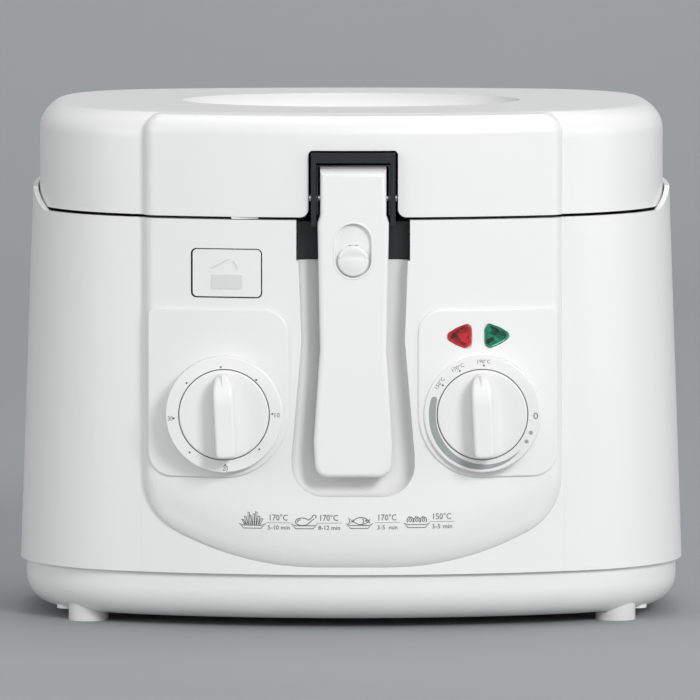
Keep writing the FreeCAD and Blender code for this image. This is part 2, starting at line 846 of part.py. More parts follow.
for tag, side in (("left", -1), ("right", 1)):
    drum = rod("boss_%s_drum" % tag, S.boss_radius, S.boss_deep, side * S.dial_offset, -boss_front,
               S.dial_height, "y")
    bosses.append(rounded("boss_%s" % tag, drum, S.boss_rise * 0.8,
                          lambda e: e.BoundBox.YMax < -boss_front.value + 0.1 and len(e.Vertexes) == 1))


def groove_body(name, grow, back, front):
    """Handle groove outline: narrow above, flared and round below, open at the top."""
    body = new_body(name)
    sketch = new_sketch(body, name + "_front", "XZ_Plane", back)
    w, f, n = S.groove_width / 2 + grow, S.groove_foot / 2 + grow, S.groove_neck / 2 + grow
    low, swell, mid = S.groove_bottom - grow, S.groove_swell, S.groove_waist
    high, top = S.bracket_bottom, S.rim_height + S.side_rim_rise / 2
    polygon(sketch, [(-f, low), (f, low), (f, swell), (n, mid), (w, high), (w, top), (-w, top), (-w, high),
                     (-n, mid), (-f, swell)])
    pad(body, name + "_pad", sketch, front - back)
    fillet(body, name + "_corners", S.groove_corner,
           lambda e: e.BoundBox.YLength > 1 and e.BoundBox.ZMax < low.value + 0.1)
    return body


trough = groove_body("groove_trough", S.wall, S.groove_floor - S.wall, S.front_reach - S.wall / 2)
trough_top = box("groove_trough_top", S.bracket_width * 2, S.front_reach, S.side_rim_rise * 3, 0,
                 -S.front_reach, S.rim_height)
groove_raw = groove_body("groove_cutter", NO_GROWTH, S.groove_floor, S.front_reach * 1.3)
groove = rounded("groove", groove_raw, S.groove_fillet,
                 lambda e: e.BoundBox.YMax - e.BoundBox.YMin < 0.1
                 and abs(e.BoundBox.YMin + S.groove_floor.value) < 0.1
                 and e.BoundBox.ZMin < S.rim_height.value)
bracket_door = box("bracket_door", S.bracket_width + 2 * S.fit_gap, S.front_reach,
                   S.rim_height, 0, -S.front_reach, S.bracket_bottom - S.fit_gap)
button_body = new_body("button_hole")
button_sketch = new_sketch(button_body, "button_hole_front", "XZ_Plane", S.front_reach / 2,
                           across=-S.button_x, up=S.button_height)
rectangle(button_sketch, S.button_width + 2 * S.button_gap, S.button_tall + 2 * S.button_gap,
          S.button_corner + S.button_gap)
pad(button_body, "button_hole_pad", button_sketch, S.front_reach)


def lamp_prism(name, centre, point, grow, back, depth):
    """Round-cornered triangle that points to one side."""
    body = new_body(name)
    sketch = new_sketch(body, name + "_front", "XZ_Plane", back, across=centre, up=S.lamp_height)
    long, tall = S.lamp_size / 2 + grow, S.lamp_size / 2 + grow
    swell = S.lamp_swell
    polygon(sketch, [
        (point * long, size(0)), (swell * (point / 2), -tall / 2 - swell), (-point * long, -tall),
        (-point * (long + swell), size(0)), (-point * long, tall), (swell * (point / 2), tall / 2 + swell),
    ])
    pad(body, name + "_pad", sketch, depth)
    fillet(body, name + "_corners", S.lamp_corner, lambda e: e.BoundBox.YLength > 1)
    return body


red_hole = lamp_prism("red_hole", S.red_x, -1, NO_GROWTH, S.front_reach / 2, S.front_reach)
green_hole = lamp_prism("green_hole", S.green_x, 1, NO_GROWTH, S.front_reach / 2, S.front_reach)
dial_holes = []
well_floor = boss_front - S.knob_disc - S.knob_gap
for tag, side in (("left", -1), ("right", 1)):
    dial_holes.append(rod("dial_well_%s" % tag, S.knob_radius + S.knob_gap, S.front_reach / 2,
                          side * S.dial_offset, -well_floor, S.dial_height, "-y"))
    dial_holes.append(rod("dial_bore_%s" % tag, S.shaft_radius + S.knob_gap, S.front_reach,
                          side * S.dial_offset, -S.front_reach / 2, S.dial_height, "-y"))
proud_set = cut("panel_proud", fuse("panel_proud_sum", shield, *plates, *bosses), inner_form)
tongue_form = fryer_form("panel_tongue_form", S.base_seam, side_rim, S.wall + S.seam_gap / 2)
tongue_core = fryer_form("panel_tongue_core", S.base_seam, side_rim, 2 * S.wall)
tongue_ring = cut("panel_tongue_ring", tongue_form, tongue_core)
root_ring = cut("panel_root_ring", inner_form, tongue_core)
tongue_low, tongue_tall = S.base_seam + S.tongue_reach, S.collar_height - S.base_seam - 2 * S.tongue_reach
tongues = []
for tag, side in (("left", -1), ("right", 1)):
    edge = side * S.panel_width / 2
    zone = box("panel_tongue_zone_" + tag, 2 * S.tongue_reach, S.front_reach, tongue_tall, edge,
               -S.front_reach, tongue_low)
    root = box("panel_root_zone_" + tag, S.tongue_reach, S.front_reach, tongue_tall,
               edge - side * S.tongue_reach / 2, -S.front_reach, tongue_low)
    tongues.append(common("panel_tongue_" + tag, tongue_ring, zone))
    tongues.append(common("panel_root_" + tag, root_ring, root))
panel_sum = fuse("panel_sum", skirt, proud_set, trough, *tongues)
panel_clean = cut("panel_clean", panel_sum, trough_top, groove, bracket_door, button_body, red_hole,
                  green_hole, *dial_holes)
part(panel_clean, "front_panel")

# Lid: crowned cover with the raised front section, handle notch and window recess
lid_low = S.rim_height + S.lid_gap
lid_front = S.front_reach - S.front_draft


def lid_form(name, low, high, inset, forward, edge):
    """Solid of the lid plan between two heights with a round top edge."""
    body = new_body(name)
    plan = new_sketch(body, name + "_plan", "XY_Plane", low)
    outline(plan, S.lid_width / 2, lid_front + forward, lid_rear, inset)
    pad(body, name + "_pad", plan, high - low)
    if edge is not None:
        fillet(body, name + "_edge", edge, lambda e: level(e, high.value))
    return body


lid_outer = lid_form("lid_outer", lid_low, S.lid_top, 0.0, 0.0, S.lid_edge)
lid_inner = lid_form("lid_inner", lid_low - S.wall, S.lid_top - S.lid_wall, S.lid_wall, 0.0,
                     S.lid_edge - S.lid_wall)
lid_brow_form = lid_form("lid_brow_form", lid_low, S.lid_top - S.brow_drop, 0.0, S.bulge, None)
brow_zone = box("lid_brow_zone", S.bulge_width, S.front_reach, S.lid_top, 0, -S.front_reach, 0)
brow_block = common("lid_brow_block", lid_brow_form, brow_zone)
brow_sides = rounded("lid_brow_sides", brow_block, S.bulge_edge,
                     lambda e: e.BoundBox.ZLength > 20 and e.BoundBox.YMax < -S.front_reach.value * 0.8)
brow = rounded("lid_brow", brow_sides, S.bulge_edge * 0.96,
               lambda e: level(e, (S.lid_top - S.brow_drop).value)
               and e.BoundBox.YMin < -S.front_reach.value * 0.6
               and not (e.BoundBox.YMax > -S.front_reach.value * 0.5001 and e.BoundBox.XLength > 100))
brow_trim = cut("lid_brow_trim", brow, lid_inner)

recess_y = S.recess_centre


def oval(name, grow, low, height):
    """Oval prism of the window recess."""
    body = new_body(name)
    sketch = new_sketch(body, name + "_plan", "XY_Plane", low, up=recess_y)
    major, minor = S.recess_width / 2 + grow, S.recess_depth_front / 2 + grow
    sketch.addGeometry(Part.Ellipse(V(major.value, 0), V(0, minor.value), V()))
    sketch.exposeInternalGeometry(0)
    rule(sketch, "Coincident", 0, 3, -1, 1)
    rule(sketch, "Horizontal", 1)
    tie(sketch, "major", 2 * major, "Distance", 1)
    tie(sketch, "minor", 2 * minor, "Distance", 2)
    pad(body, name + "_pad", sketch, height)
    return body


dish_floor = S.lid_top - S.recess_drop
dish_outer = oval("dish_outer", S.wall, dish_floor - S.lid_wall, S.recess_drop)
dish_cut = oval("dish_cut", NO_GROWTH, dish_floor, S.recess_drop * 2)
window_hole = oval("window_hole", -S.glass_lip, dish_floor - 3 * S.lid_wall, S.recess_drop * 3)
notch_body = new_body("lid_notch")
notch_sketch = new_sketch(notch_body, "lid_notch_front", "XZ_Plane", S.notch_back)
half_notch, flare = S.notch_width / 2, S.wall * 1.8
polygon(notch_sketch, [
    (-half_notch - flare, lid_low - flare), (half_notch + flare, lid_low - flare),
    (half_notch + flare, lid_low), (half_notch, lid_low), (half_notch, S.notch_top),
    (-half_notch, S.notch_top), (-half_notch, lid_low), (-half_notch - flare, lid_low),
])
pad(notch_body, "lid_notch_pad", notch_sketch, S.front_reach)
notch_crown = rounded("lid_notch_crown", notch_body, S.wall * 0.8,
                      lambda e: e.BoundBox.YLength > 50 and e.BoundBox.ZMin > S.notch_top.value - 0.1)
notch = rounded("lid_notch_foot", notch_crown, flare * 0.95,
                lambda e: e.BoundBox.YLength > 50 and abs(e.BoundBox.ZMin - lid_low.value) < 0.1
                and abs(abs(e.BoundBox.XMin) - half_notch.value) < 0.1 and e.BoundBox.ZLength < 0.1)
lid_arms = []
for tag, side in (("left", -1), ("right", 1)):
    centre = side * S.lid_knuckle_offset
    barrel = rod("lid_barrel_" + tag, S.hinge_radius, S.lid_knuckle, centre - S.lid_knuckle / 2,
                 hinge_y, hinge_z, "x")
    arm = box("lid_arm_" + tag, S.lid_knuckle, hinge_y - lid_rear + S.arm_root,
              S.hinge_radius - S.arm_gap, centre, (hinge_y + lid_rear - S.arm_root) / 2, hinge_z + S.arm_gap)
    lid_arms.extend((barrel, arm))
arms = cut("lid_arms", fuse("lid_arm_set", *lid_arms), lid_inner)
lid_shell = cut("lid_shell", lid_outer, lid_inner)
lid_sum = fuse("lid_sum", lid_shell, brow_trim, dish_outer, arms)
lid_bore = rod("lid_bore", S.pin_radius + S.turn_gap, 2 * S.rear_reach, -S.rear_reach, hinge_y, hinge_z, "x")
lid_cover = cut("lid_cover_solid", lid_sum, dish_cut, window_hole, notch, lid_bore)
part(lid_cover, "lid_cover")
glass = oval("window_glass_body", -S.glass_lip / 2, dish_floor - S.lid_wall - S.glass_thick, S.glass_thick)
part(glass, "window_glass")

# Hinge pin, window seal plate, seal and vent filter of the lid
pin_length = 2 * (knuckle_x + S.lid_knuckle + 1.5 * S.body_knuckle + 2 * S.knuckle_gap)
part(rod("hinge_pin_rod", S.pin_radius, pin_length, -pin_length / 2, hinge_y, hinge_z, "x"), "hinge_pin")


def block_body(name, width, depth, corner, low, height, y):
    """Block with a rounded rectangle as plan."""
    body = new_body(name)
    plan = new_sketch(body, name + "_plan", "XY_Plane", low, up=y)
    rectangle(plan, width, depth, corner)
    pad(body, name + "_pad", plan, height)
    return body


liner_low = lid_low + S.lid_wall
liner_thick = S.lid_wall
liner_form = lid_form("liner_form", liner_low, liner_low + liner_thick, S.lid_wall, 0.0, None)
liner_hole = block_body("liner_hole", S.pot_width - 2 * S.liner_lap, S.pot_depth - 2 * S.liner_lap,
                        S.pot_corner - S.liner_lap, lid_low - S.wall, S.lid_top, S.pot_centre)
bracket_room = box("bracket_room", S.notch_width + S.wall, S.front_reach, S.notch_top, 0,
                   S.pot_centre - S.pot_depth / 2 - S.front_reach / 2 + S.bracket_room, 0)
liner = cut("liner_solid", liner_form, liner_hole, bracket_room)
flange_top = S.collar_height + S.collar_thick + S.pot_wall
seal_outer = block_body("seal_outer", S.pot_width + 2 * S.seal_outside, S.pot_depth + 2 * S.seal_outside,
                        S.pot_corner + S.seal_outside, flange_top + S.fit_gap,
                        liner_low - flange_top - S.fit_gap, S.pot_centre)
seal_inner = block_body("seal_inner", S.pot_width - 2 * S.seal_inside, S.pot_depth - 2 * S.seal_inside,
                        S.pot_corner - S.seal_inside, S.collar_height, S.lid_top, S.pot_centre)
part(liner, "lid_liner")
part(cut("seal_solid", seal_outer, seal_inner, bracket_room), "lid_seal")
filter_y = lid_rear - 3 * S.lid_wall - S.filter_gap - S.filter_deep / 2
part(box("filter_block", S.filter_width, S.filter_deep, S.filter_tall, 0, filter_y, liner_low + liner_thick),
     "vent_filter")
tongue_y = S.front_reach - 4 * S.wall - S.catch_gap
part(box("catch_tongue", S.latch_width, S.catch_thick, liner_low - S.rim_height + S.catch_drop, -S.latch_x,
         -tongue_y + S.catch_thick / 2, S.rim_height - S.catch_drop), "lid_catch")

# Collar under the lid, pot, basket
collar_form = fryer_form("collar_form", S.base_seam, side_rim, S.wall)
collar_zone = box("collar_zone", S.body_width, 3 * S.rear_reach, S.collar_thick, 0, 0, S.collar_height)
collar_plate = common("collar_plate", collar_form, collar_zone)
collar_hole = block_body("collar_hole", S.pot_width + 2 * (S.pot_wall + S.pot_gap),
                         S.pot_depth + 2 * (S.pot_wall + S.pot_gap), S.pot_corner + S.pot_wall + S.pot_gap,
                         S.base_seam, S.rim_height, S.pot_centre)
bracket_slot = box("collar_bracket_slot", S.groove_width + 2 * S.wall + 2 * S.fit_gap, S.front_reach / 2,
                   S.rim_height, 0, -S.front_reach, S.base_seam)
latch_slot = box("collar_latch_slot", S.latch_width + S.latch_room, S.latch_room, S.rim_height,
                 -S.latch_x - S.latch_room_side, -S.front_reach + S.latch_room_deep, S.base_seam)
part(cut("collar_solid", collar_plate, collar_hole, bracket_slot, latch_slot), "rim_collar")

pot_low = flange_top - S.pot_deep - S.pot_wall


def tub(name, grow, low, high, bend):
    body = block_body(name, S.pot_width + 2 * grow, S.pot_depth + 2 * grow, S.pot_corner + grow,
                      low, high - low, S.pot_centre)
    fillet(body, name + "_bend", bend, lambda e: level(e, low.value))
    return body


pot_outer = tub("pot_outer", S.pot_wall, pot_low, flange_top, S.pot_bend + S.pot_wall)
pot_inner = tub("pot_inner", S.pot_wall * 0, pot_low + S.pot_wall, flange_top + S.wall, S.pot_bend)
flange = block_body("pot_flange_plate", S.pot_width + 2 * S.pot_flange, S.pot_depth + 2 * S.pot_flange,
                    S.pot_corner + S.pot_flange, S.collar_height + S.collar_thick, S.pot_wall, S.pot_centre)
part(cut("pot_solid", fuse("pot_sum", pot_outer, flange), pot_inner), "inner_pot")

basket = block_body("basket_tub", S.basket_width, S.basket_depth, S.basket_corner, S.basket_floor,
                    S.basket_tall, S.pot_centre)
scoop = new_sketch(basket, "basket_scoop", "XY_Plane", S.basket_floor + S.basket_wire, up=S.pot_centre)
rectangle(scoop, S.basket_width - 2 * S.basket_wire, S.basket_depth - 2 * S.basket_wire,
          S.basket_corner - S.basket_wire)
pad(basket, "basket_hollow", scoop, S.basket_tall, "PartDesign::Pocket", True)
hole = S.mesh_pitch - S.mesh_bar


def mesh_row(name, plane, offset, across, up, count_a, count_b, depth, turn=None):
    """Pocket one square gap and repeat it along both directions of its sketch."""
    sketch = new_sketch(basket, name + "_gap", plane, offset, across, up)
    if turn is not None:
        sketch.AttachmentOffset = FreeCAD.Placement(sketch.AttachmentOffset.Base, turn)
    rectangle(sketch, hole, hole)
    if depth is None:
        pocket = cut_all(basket, name + "_pocket", sketch)
    else:
        pocket = pad(basket, name + "_pocket", sketch, depth, "PartDesign::Pocket", True)
    doc.recompute()
    many = basket.newObject("PartDesign::MultiTransform", name + "_mesh")
    rows = []
    for tag, axis, count in (("a", "H_Axis", count_a), ("b", "V_Axis", count_b)):
        line = basket.newObject("PartDesign::LinearPattern", name + "_row_" + tag)
        line.Direction = (sketch, [axis])
        line.Mode = "Spacing"
        line.Offset = S.mesh_pitch.value
        bind(line, "Offset", S.mesh_pitch)
        line.Occurrences = count
        rows.append(line)
    many.Originals = [pocket]
    many.Transformations = rows
    basket.Tip = many
    doc.recompute()


wide = int((S.basket_width - 2 * S.basket_corner).value / S.mesh_pitch.value)
deep = int((S.basket_depth - 2 * S.basket_corner).value / S.mesh_pitch.value)
tall = int((S.basket_tall - S.mesh_margin).value / S.mesh_pitch.value)
first_row = S.basket_floor + S.mesh_start + S.mesh_pitch / 2
mesh_row("basket_front", "XZ_Plane", -S.pot_centre, -S.mesh_pitch * ((wide - 1) / 2), first_row, wide, tall,
         None)
mesh_row("basket_side", "YZ_Plane", None, S.pot_centre - S.mesh_pitch * ((deep - 1) / 2), first_row,
         deep, tall, None)
floor_wide = int((S.basket_width - S.floor_margin).value / S.mesh_pitch.value)
floor_deep = int((S.basket_depth - S.floor_margin).value / S.mesh_pitch.value)
mesh_row("basket_floor", "XY_Plane", S.basket_floor - S.basket_wire, -S.mesh_pitch * ((floor_wide - 1) / 2),
         S.pot_centre - S.mesh_pitch * ((floor_deep - 1) / 2), floor_wide, floor_deep,
         3 * S.basket_wire)

# The net is welded from flat panels, a floor and bent corner strips
net_floor = S.basket_floor + S.basket_wire
flat_wide, flat_deep = S.basket_width - 2 * S.basket_corner, S.basket_depth - 2 * S.basket_corner
net_zones = [box("net_floor_zone", 2 * S.basket_width, 2 * S.basket_depth, 2 * S.basket_wire, 0, S.pot_centre,
                 net_floor - 2 * S.basket_wire)]
for tag, side in (("front", -1), ("rear", 1)):
    net_zones.append(box("net_%s_zone" % tag, flat_wide, S.basket_corner, S.basket_tall, 0,
                         S.pot_centre + side * S.basket_depth / 2, net_floor))
for tag, side in (("left", -1), ("right", 1)):
    net_zones.append(box("net_%s_zone" % tag, S.basket_corner, flat_deep, S.basket_tall,
                         side * S.basket_width / 2, S.pot_centre, net_floor))
    for end, way in (("front", -1), ("rear", 1)):
        for half, turn in (("first", 0), ("second", 45)):
            name = "net_%s_%s_%s_zone" % (tag, end, half)
            wedge = doc.addObject("Part::Cylinder", name)
            bind(wedge, "Radius", 2 * S.basket_corner)
            bind(wedge, "Height", S.basket_tall)
            wedge.Angle = 45
            start = {(1, 1): 0, (-1, 1): 90, (-1, -1): 180, (1, -1): 270}[(side, way)]
            wedge.Placement = FreeCAD.Placement(V(), FreeCAD.Rotation(V(0, 0, 1), start + turn))
            net_zones.append(place(wedge, side * flat_wide / 2, S.pot_centre + way * flat_deep / 2, net_floor))
nets = [common("net_%d" % index, basket, zone) for index, zone in enumerate(net_zones, start=1)]
part(group("basket_net", *nets), "basket_mesh")
rim_base = S.basket_floor + S.basket_tall
rim_out = block_body("basket_rim_out", S.basket_width + 2 * S.rim_wire, S.basket_depth + 2 * S.rim_wire,
                     S.basket_corner + S.rim_wire, rim_base, 2 * S.rim_wire, S.pot_centre)
fillet(rim_out, "basket_rim_round", S.rim_wire * 0.9,
       lambda e: level(e, rim_base.value) or level(e, rim_base.value + 2 * S.rim_wire.value))
rim_in = block_body("basket_rim_in", S.basket_width - 2 * S.rim_wire, S.basket_depth - 2 * S.rim_wire,
                    S.basket_corner - S.rim_wire, rim_base - S.rim_wire, 4 * S.rim_wire, S.pot_centre)
part(cut("basket_rim_solid", rim_out, rim_in), "basket_rim")
basket_low = pot_low + S.pot_wall
studs = []
for index, (x, y) in enumerate(spots):
    studs.append(rod("basket_stud_%d" % index, S.rim_wire * 1.5, S.basket_floor - basket_low,
                     x * S.basket_width * 0.36, S.pot_centre + y * S.basket_depth * 0.33, basket_low, "z"))
part(group("basket_studs", *studs), "basket_feet")

# Bracket with cheeks, crossbar, front plate, saddle and hanger arms
cheek_in = S.handle_width / 2 + S.cheek_gap
saddle_z = flange_top + S.saddle_gap
cheek_x = cheek_in + S.cheek / 2
bar_low = S.handle_top + S.bar_gap
bracket_front = S.handle_front - S.bracket_step
cheeks = []
for tag, side in (("left", -1), ("right", 1)):
    cheeks.append(box("bracket_cheek_" + tag, S.cheek, bracket_front - S.bracket_back,
                      bar_low + S.crossbar - saddle_z, side * cheek_x,
                      -(bracket_front + S.bracket_back) / 2, saddle_z))
crossbar = box("bracket_crossbar", 2 * (cheek_in + S.cheek), bracket_front - S.bracket_back, S.crossbar, 0,
               -(bracket_front + S.bracket_back) / 2, bar_low)
plate_y = S.groove_floor + S.bracket_seat
front_plate = box("bracket_plate", S.bracket_width, S.bracket_plate,
                  S.rim_height - S.bracket_bottom - S.bracket_seat, 0, -plate_y + S.bracket_plate / 2,
                  S.bracket_bottom)
saddle_back = S.pot_depth / 2 - S.pot_centre + S.pot_flange + S.saddle_lap
saddle = box("bracket_saddle", 2 * (cheek_in + S.cheek), plate_y - saddle_back, S.bracket_plate, 0,
             -(plate_y + saddle_back) / 2, saddle_z)
pivot_bore = rod("pivot_bore", S.pivot_pin + S.press_gap, S.bracket_width, -S.bracket_width / 2, -S.pivot_y,
                 S.pivot_height, "x")
bracket = cut("bracket_solid", fuse("bracket_sum", *cheeks, crossbar, front_plate, saddle), pivot_bore)
part(bracket, "handle_bracket")
arms_list = []
basket_front = S.basket_depth / 2 - S.pot_centre
for tag, side in (("left", -1), ("right", 1)):
    ax = side * (cheek_in - S.hanger_wire / 2)
    over_front = saddle_back + S.hanger_lap
    over_back = basket_front - S.hanger_wire / 2
    over = box("hanger_over_" + tag, S.hanger_wire, over_front - over_back, S.hanger_wire, ax,
               -(over_front + over_back) / 2, saddle_z)
    down = box("hanger_down_" + tag, S.hanger_wire, S.hanger_wire,
               saddle_z + S.hanger_wire / 2 - rim_base - 2 * S.rim_wire, ax, -basket_front,
               rim_base + 2 * S.rim_wire)
    arms_list.append(fuse("hanger_" + tag, over, down))
part(cut("hanger_solid", group("hanger_pair", *arms_list), saddle), "basket_hanger")
pin_span = 2 * (cheek_in + S.cheek + S.pin_proud)
part(rod("pivot_pin_rod", S.pivot_pin, pin_span, -pin_span / 2, -S.pivot_y, S.pivot_height, "x"), "pivot_pin")

# Handle: front shell and back cover, round heel about the pivot, slide lock
handle_back = S.handle_front - S.handle_thick


def handle_form(name, grow, back, front):
    body = new_body(name)
    sketch = new_sketch(body, name + "_front", "XZ_Plane", back)
    w, f = S.handle_width / 2 + grow, S.handle_foot / 2 + grow
    n, b = S.handle_waist / 2 + grow, S.handle_shoulder / 2 + grow
    low, top = S.handle_bottom - grow, S.handle_top + S.handle_thick
    swell, mid, seam = S.handle_swell, S.handle_neck, S.rim_height - S.shoulder_drop
    step, taper = seam + S.shoulder_rise, S.heel_taper
    polygon(sketch, [(-f + taper, low), (f - taper, low), (f, swell), (n, mid), (b, seam), (w, step), (w, top),
                     (-w, top), (-w, step), (-b, seam), (-n, mid), (-f, swell)])
    pad(body, name + "_pad", sketch, front - back)
    fillet(body, name + "_corners", S.handle_corner,
           lambda e: e.BoundBox.YLength > 1 and e.BoundBox.ZMax < low.value + 0.1)
    return body


heel_radius = S.handle_top - S.pivot_height
heel = rod("handle_heel", heel_radius, S.bracket_width, -S.bracket_width / 2, -S.pivot_y, S.pivot_height, "x")
below = box("handle_below", S.bracket_width, S.front_reach, S.pivot_height, 0, -S.pivot_y, 0)
handle_zone = fuse("handle_zone", heel, below)
handle_block = handle_form("handle_block", NO_GROWTH, handle_back, S.handle_front)
handle_raw = common("handle_raw", handle_block, handle_zone)
handle_round = rounded("handle_round", handle_raw, S.handle_edge,
                       lambda e: e.BoundBox.YMax < -S.handle_front.value + 0.05)
split_y = handle_back + S.handle_cover
back_zone = box("handle_back_zone", S.bracket_width, S.front_reach, S.pivot_height - S.cover_drop, 0,
                -split_y + S.front_reach / 2, 0)
pin_hole = rod("handle_pin_hole", S.pivot_pin + S.turn_gap, S.bracket_width, -S.bracket_width / 2, -S.pivot_y,
               S.pivot_height, "x")


def slot(name, width, length, centre, back, depth):
    """Upright slot with round ends."""
    body = new_body(name)
    sketch = new_sketch(body, name + "_front", "XZ_Plane", back, up=centre)
    rectangle(sketch, width, length, width / 2 - 0.01)
    pad(body, name + "_pad", sketch, depth)
    return body


slot_back = S.handle_front - S.slot_depth
lock_slot = slot("lock_recess", S.slot_width, S.slot_length, S.slot_centre, slot_back,
                 2 * S.handle_thick)
stem_width = S.lock_radius / 2
stem_drop = S.lock_radius * 0.6
lock_low = S.slot_centre - S.slot_length / 2 + S.lock_radius + S.lock_gap
stem_slot = box("lock_stem_slot", stem_width + 2 * S.turn_gap, 4 * S.handle_thick,
                S.lock_travel + stem_width + 2 * S.lock_gap, 0, -slot_back,
                lock_low - stem_drop - stem_width / 2 - S.lock_gap)
bolt_room = box("lock_bolt_room", S.bolt_width + 2 * S.bolt_gap, S.bolt_room,
                S.bolt_length + S.lock_travel + 8 * S.bolt_gap, 0, -split_y - S.bolt_room / 2,
                lock_low - S.bolt_drop - 2 * S.bolt_gap)
handle_shell = cut("handle_shell_solid", handle_round, back_zone, pin_hole,
                   lock_slot, stem_slot, bolt_room)
part(handle_shell, "handle_shell")
part(common("handle_back_half", handle_round, back_zone), "handle_back")
button_disc = rod("lock_disc", S.lock_radius, S.slot_depth + S.lock_proud - S.lock_lift, 0,
                  -slot_back - S.lock_lift, lock_low, "-y")
lock_round = rounded("lock_round", button_disc, S.slot_depth * 0.6,
                     lambda e: e.BoundBox.YMax < -S.handle_front.value + 0.05 and len(e.Vertexes) == 1)
stem_back_y = split_y + S.stem_start
lock_stem = box("lock_stem", stem_width, slot_back - stem_back_y + 2 * S.stem_lap, stem_width, 0,
                -(slot_back + stem_back_y) / 2, lock_low - stem_drop - stem_width / 2)
lock_plate = box("lock_plate", S.bolt_width, S.bolt_thick, S.bolt_length, 0, -split_y - S.bolt_room / 2,
                 lock_low - S.bolt_drop)
part(fuse("lock_button_solid", lock_round, lock_stem), "lock_button")
part(cut("lock_bolt_solid", lock_plate, lock_stem), "lock_bolt")

# Knobs with shafts
grip_front = hinge_y + S.hinge_radius
knob_front = boss_front + S.knob_face
knob_back = well_floor + S.knob_gap


def pointer_facet(name, x, way):
    """Block whose inner face is one facet of the pointer ridge at the end of a grip."""
    ridge = V(0, S.pointer_drop.value, S.pointer_length.value).normalize()
    down = V(0, ridge.z, -ridge.y)
    lean = math.radians(S.pointer_lean.value)
    side = V(way * math.cos(lean), 0, 0) + down * math.sin(lean)
    item = doc.addObject("Part::Box", name)
    for prop in ("Length", "Width", "Height"):
        bind(item, prop, S.grip_length)
    turn = FreeCAD.Rotation(side, ridge, V(), "XYZ") if way > 0 else FreeCAD.Rotation(ridge, side, V(), "XYZ")
    item.Placement = FreeCAD.Placement(V(), turn)
    half = S.grip_length / 2
    back = ridge + side
    place(item, x - half * back.x, -grip_front - half * back.y,
          S.dial_height + half - S.pointer_length - half * back.z)
    return item


def knob(name, x):
    drum = rod(name + "_drum", S.knob_radius, knob_front - knob_back, x, -knob_back, S.dial_height, "-y")
    disc = rounded(name + "_disc", drum, S.knob_face * 0.7,
                   lambda e: e.BoundBox.YMax < -knob_front.value + 0.05 and len(e.Vertexes) == 1)
    body = new_body(name + "_grip")
    sketch = new_sketch(body, name + "_grip_front", "XZ_Plane", knob_back + S.grip_root, across=x,
                        up=S.dial_height)
    half, long = S.grip_width / 2, S.grip_length / 2
    polygon(sketch, [(-half * 0.92, -long), (half * 0.92, -long), (half, long * 0.76), (half * 0.4, long),
                     (-half * 0.4, long), (-half, long * 0.76)])
    pad(body, name + "_grip_pad", sketch, grip_front - knob_back - S.grip_root)
    fillet(body, name + "_grip_crown", half * 0.5,
           lambda e: e.BoundBox.YLength > 5 and e.BoundBox.ZMin > (S.dial_height + long * 0.7).value)
    fillet(body, name + "_grip_round", half * 0.7,
           lambda e: e.BoundBox.YMax < -grip_front.value + 0.05)
    facets = [pointer_facet(name + "_facet_" + tag, x, way) for tag, way in (("left", -1), ("right", 1))]
    grip = cut(name + "_pointer", body, *facets)
    bore = rod(name + "_bore", S.shaft_radius, S.bore_deep, x, -knob_back + S.grip_root, S.dial_height, "-y")
    return cut(name + "_solid", fuse(name + "_sum", disc, grip), bore)


control_front = S.front_reach - S.control_setback
for tag, side in (("timer", -1), ("thermostat", 1)):
    x = side * S.dial_offset
    part(knob(tag + "_knob", x), tag + "_knob")
    shaft_back = control_front - S.shaft_inside
    part(rod(tag + "_shaft_rod", S.shaft_radius, knob_back + S.shaft_reach - shaft_back, x, -shaft_back,
             S.dial_height, "-y"), tag + "_shaft")
    case = box(tag + "_case", S.control_width, S.control_deep, S.control_width, x,
               -control_front + S.control_deep / 2, S.dial_height - S.control_width / 2)
    neck = rod(tag + "_neck", S.shaft_radius * 2, S.neck_length, x, -control_front, S.dial_height, "-y")
    well = rod(tag + "_socket", S.shaft_radius + S.turn_gap, 2 * S.control_deep, x, -shaft_back + S.shaft_gap,
               S.dial_height, "-y")
    trimmed = common(tag + "_neck_trim", neck, inner_form)
    part(cut(tag + "_body_solid", fuse(tag + "_body_sum", case, trimmed), well), tag + "_body")

# Release button with latch hook
button_form = fryer_form("button_form", S.base_seam, side_rim, 0.0, S.bulge + S.button_rise)
button_prism = new_body("button_prism")
prism_sketch = new_sketch(button_prism, "button_prism_front", "XZ_Plane", S.front_reach - S.button_deep,
                          across=-S.button_x, up=S.button_height)
rectangle(prism_sketch, S.button_width, S.button_tall, S.button_corner)
pad(button_prism, "button_prism_pad", prism_sketch, S.front_reach)
button = common("button_solid", button_form, button_prism)
part(button, "release_button")
hook_y = tongue_y - S.hook_gap
stem_back = S.front_reach - S.button_deep
hook_low = S.button_height - S.hook_stem / 2
hook_mid = -hook_y + S.hook_thick / 2
hook_stem = box("hook_stem_bar", S.hook_stem, stem_back - hook_y + S.hook_thick, S.hook_stem, -S.button_x,
                -(stem_back + hook_y - S.hook_thick) / 2, hook_low)
hook_bar = box("hook_bar", S.button_x - S.latch_x + S.hook_stem + S.latch_width / 2, S.hook_thick, S.hook_stem,
               -(S.button_x + S.latch_x + S.hook_stem / 2 - S.latch_width / 2) / 2, hook_mid, hook_low)
hook_arm = box("hook_arm", S.latch_width, S.hook_thick, S.rim_height - S.hook_clear - S.button_height,
               -S.latch_x, hook_mid, S.button_height)
part(fuse("latch_hook_solid", hook_stem, hook_bar, hook_arm), "latch_hook")

